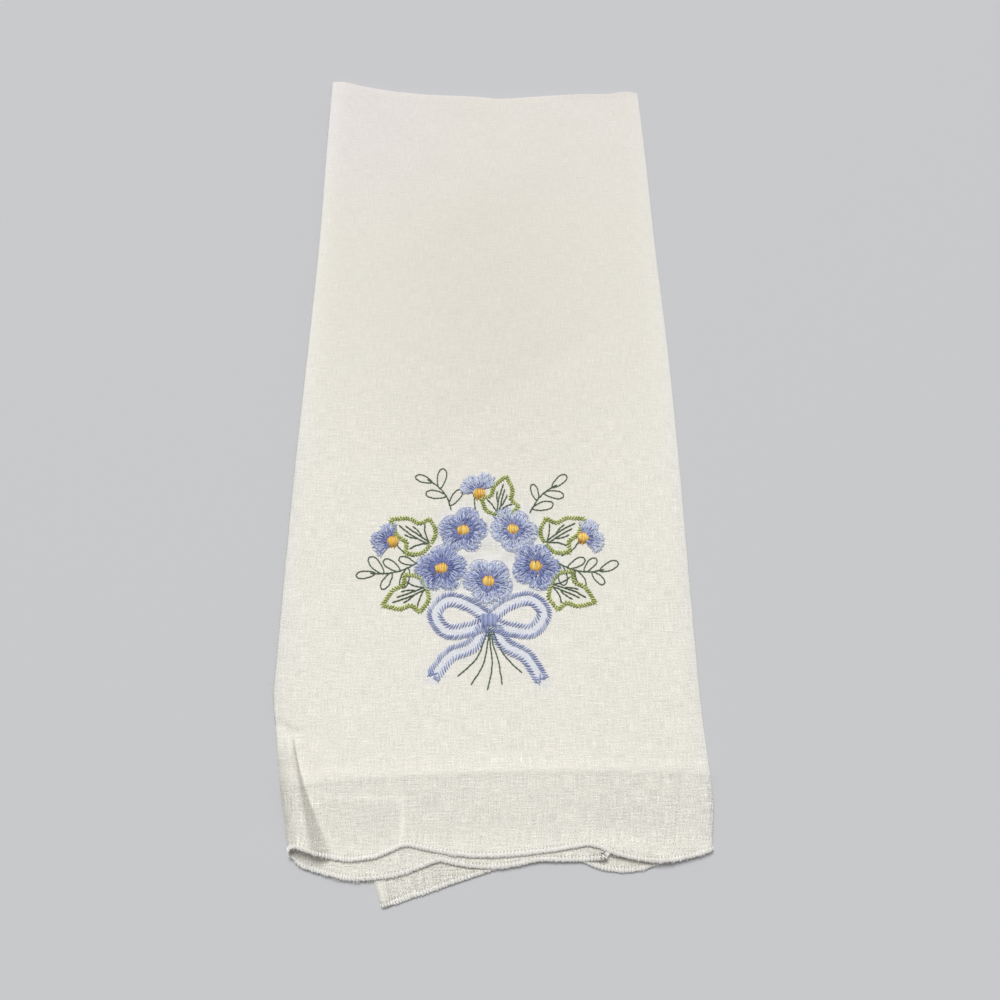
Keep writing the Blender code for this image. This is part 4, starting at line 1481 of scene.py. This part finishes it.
def tail_end(points, last):
    """A column over the tail's end, drawn in at its middle."""
    places, ahead = spaced(posy_line(points), RIBBON_STEP)
    out = ahead[last] if last else -ahead[last]
    beside = left_of(ahead[last]) * 0.5 * RIBBON
    end = np.stack([places[last] + beside, places[last] - out * NOTCH, places[last] - beside])
    return column(end, SLANT, DENSE, DENSE_SHADE)


rows = [ribbon_stitches(points) for points in TAILS + LOOPS]
rows += [tail_end(TAILS[0], -1), tail_end(TAILS[1], 0)]
knot = on_front(np.linspace(-KNOT_REACH, KNOT_REACH, KNOT_POINTS), KNOT_LEVEL)
rows.append(satin(knot, KNOT_HIGH, KNOT_PITCH, 0.0, KNOT_SHADE, KNOT_BASE, PETAL_FLOSS))
bow = sew("ribbon_bow", rows, blue_thread)

# The floss shows through the linen from its back, so the cloth beside it looks a little blue:
# most between the ribbon's edges, and less round the blossoms.
BLUISH_REACH = 2.0
BLUISH_RIBBON = 0.80
BLUISH_BLOSSOM = 0.30
BLUISH_SIDES = 0.20         # the pressed sides look a little cooler than the rest
BLUISH_SIDES_REACH = 3.4
POSY_REACH = 45.0           # the posy lies within this of its middle
ROUND_POINTS = 40           # the points that stand for a blossom's rim,
ROUND_TURN = 6.2            # spread over this angle, nearly a full turn
ribbons = [spaced(posy_line(points), 2.0 * RIBBON_STEP)[0] for points in TAILS + LOOPS]
round_it = pointing(np.linspace(0.0, ROUND_TURN, ROUND_POINTS))
rims = [on_front(row.right, row.up) + row.size * round_it for row in BLOSSOMS]
in_posy = upper & (np.abs(across) < POSY_REACH) & (np.abs(forward - POSY_LEVEL) < POSY_REACH)
cloth_places = np.stack([across, forward], axis=-1)[in_posy]
to_side = HALF_WIDTH - np.abs(face[..., 0])
bluish = BLUISH_SIDES * bell(to_side, BLUISH_SIDES_REACH) * upper
for places, most in ((ribbons, BLUISH_RIBBON), (rims, BLUISH_BLOSSOM)):
    away = np.linalg.norm(cloth_places[:, None] - np.concatenate(places), axis=2).min(axis=1)
    bluish[in_posy] = np.maximum(bluish[in_posy], most * bell(away, BLUISH_REACH))
add_mark(towel.data, "bluish", np.stack([bluish, bluish]))

# ---------------------------------------------------------------------------------------------
# The floor, a plain pale sheet of card, and soft light from over the towel's top.
FLOOR_REACH = 1.6
FLOOR_GREY = colour(206, 207, 210)
floor_mesh = bpy.data.meshes.new("floor")
floor_corners = [(-FLOOR_REACH, -FLOOR_REACH, 0.0), (FLOOR_REACH, -FLOOR_REACH, 0.0),
                 (FLOOR_REACH, FLOOR_REACH, 0.0), (-FLOOR_REACH, FLOOR_REACH, 0.0)]
floor_mesh.from_pydata(floor_corners, [], [(0, 1, 2, 3)])
floor = bpy.data.objects.new("floor", floor_mesh)
bpy.context.scene.collection.objects.link(floor)
floor_material, floor_shader, _ = new_material("floor", roughness=0.9, sheen=0.0)
floor_shader.inputs["Base Color"].default_value = FLOOR_GREY
floor_mesh.materials.append(floor_material)

ROOM_LIGHT = (1.0, 0.99, 0.975, 1.0)
ROOM_STRENGTH = 0.32
world = bpy.data.worlds.new("soft room")
world.use_nodes = True
background = world.node_tree.nodes["Background"]
background.inputs["Color"].default_value = ROOM_LIGHT
background.inputs["Strength"].default_value = ROOM_STRENGTH
bpy.context.scene.world = world
bpy.context.scene.view_settings.view_transform = "Standard"

KEY_FROM = Vector((-0.16, 0.60, 1.0))
KEY_STRENGTH = 2.25
KEY_SPREAD = math.radians(28.0)
key = bpy.data.lights.new("key", "SUN")
key.energy = KEY_STRENGTH
key.angle = KEY_SPREAD
holder = bpy.data.objects.new("key", key)
holder.location = KEY_FROM
holder.rotation_euler = KEY_FROM.to_track_quat("Z", "Y").to_euler()
bpy.context.scene.collection.objects.link(holder)

# ---------------------------------------------------------------------------------------------
# The flat cloth's width, in metres.
flat_width = (LOOSE_END - TUCKED_END) * MM
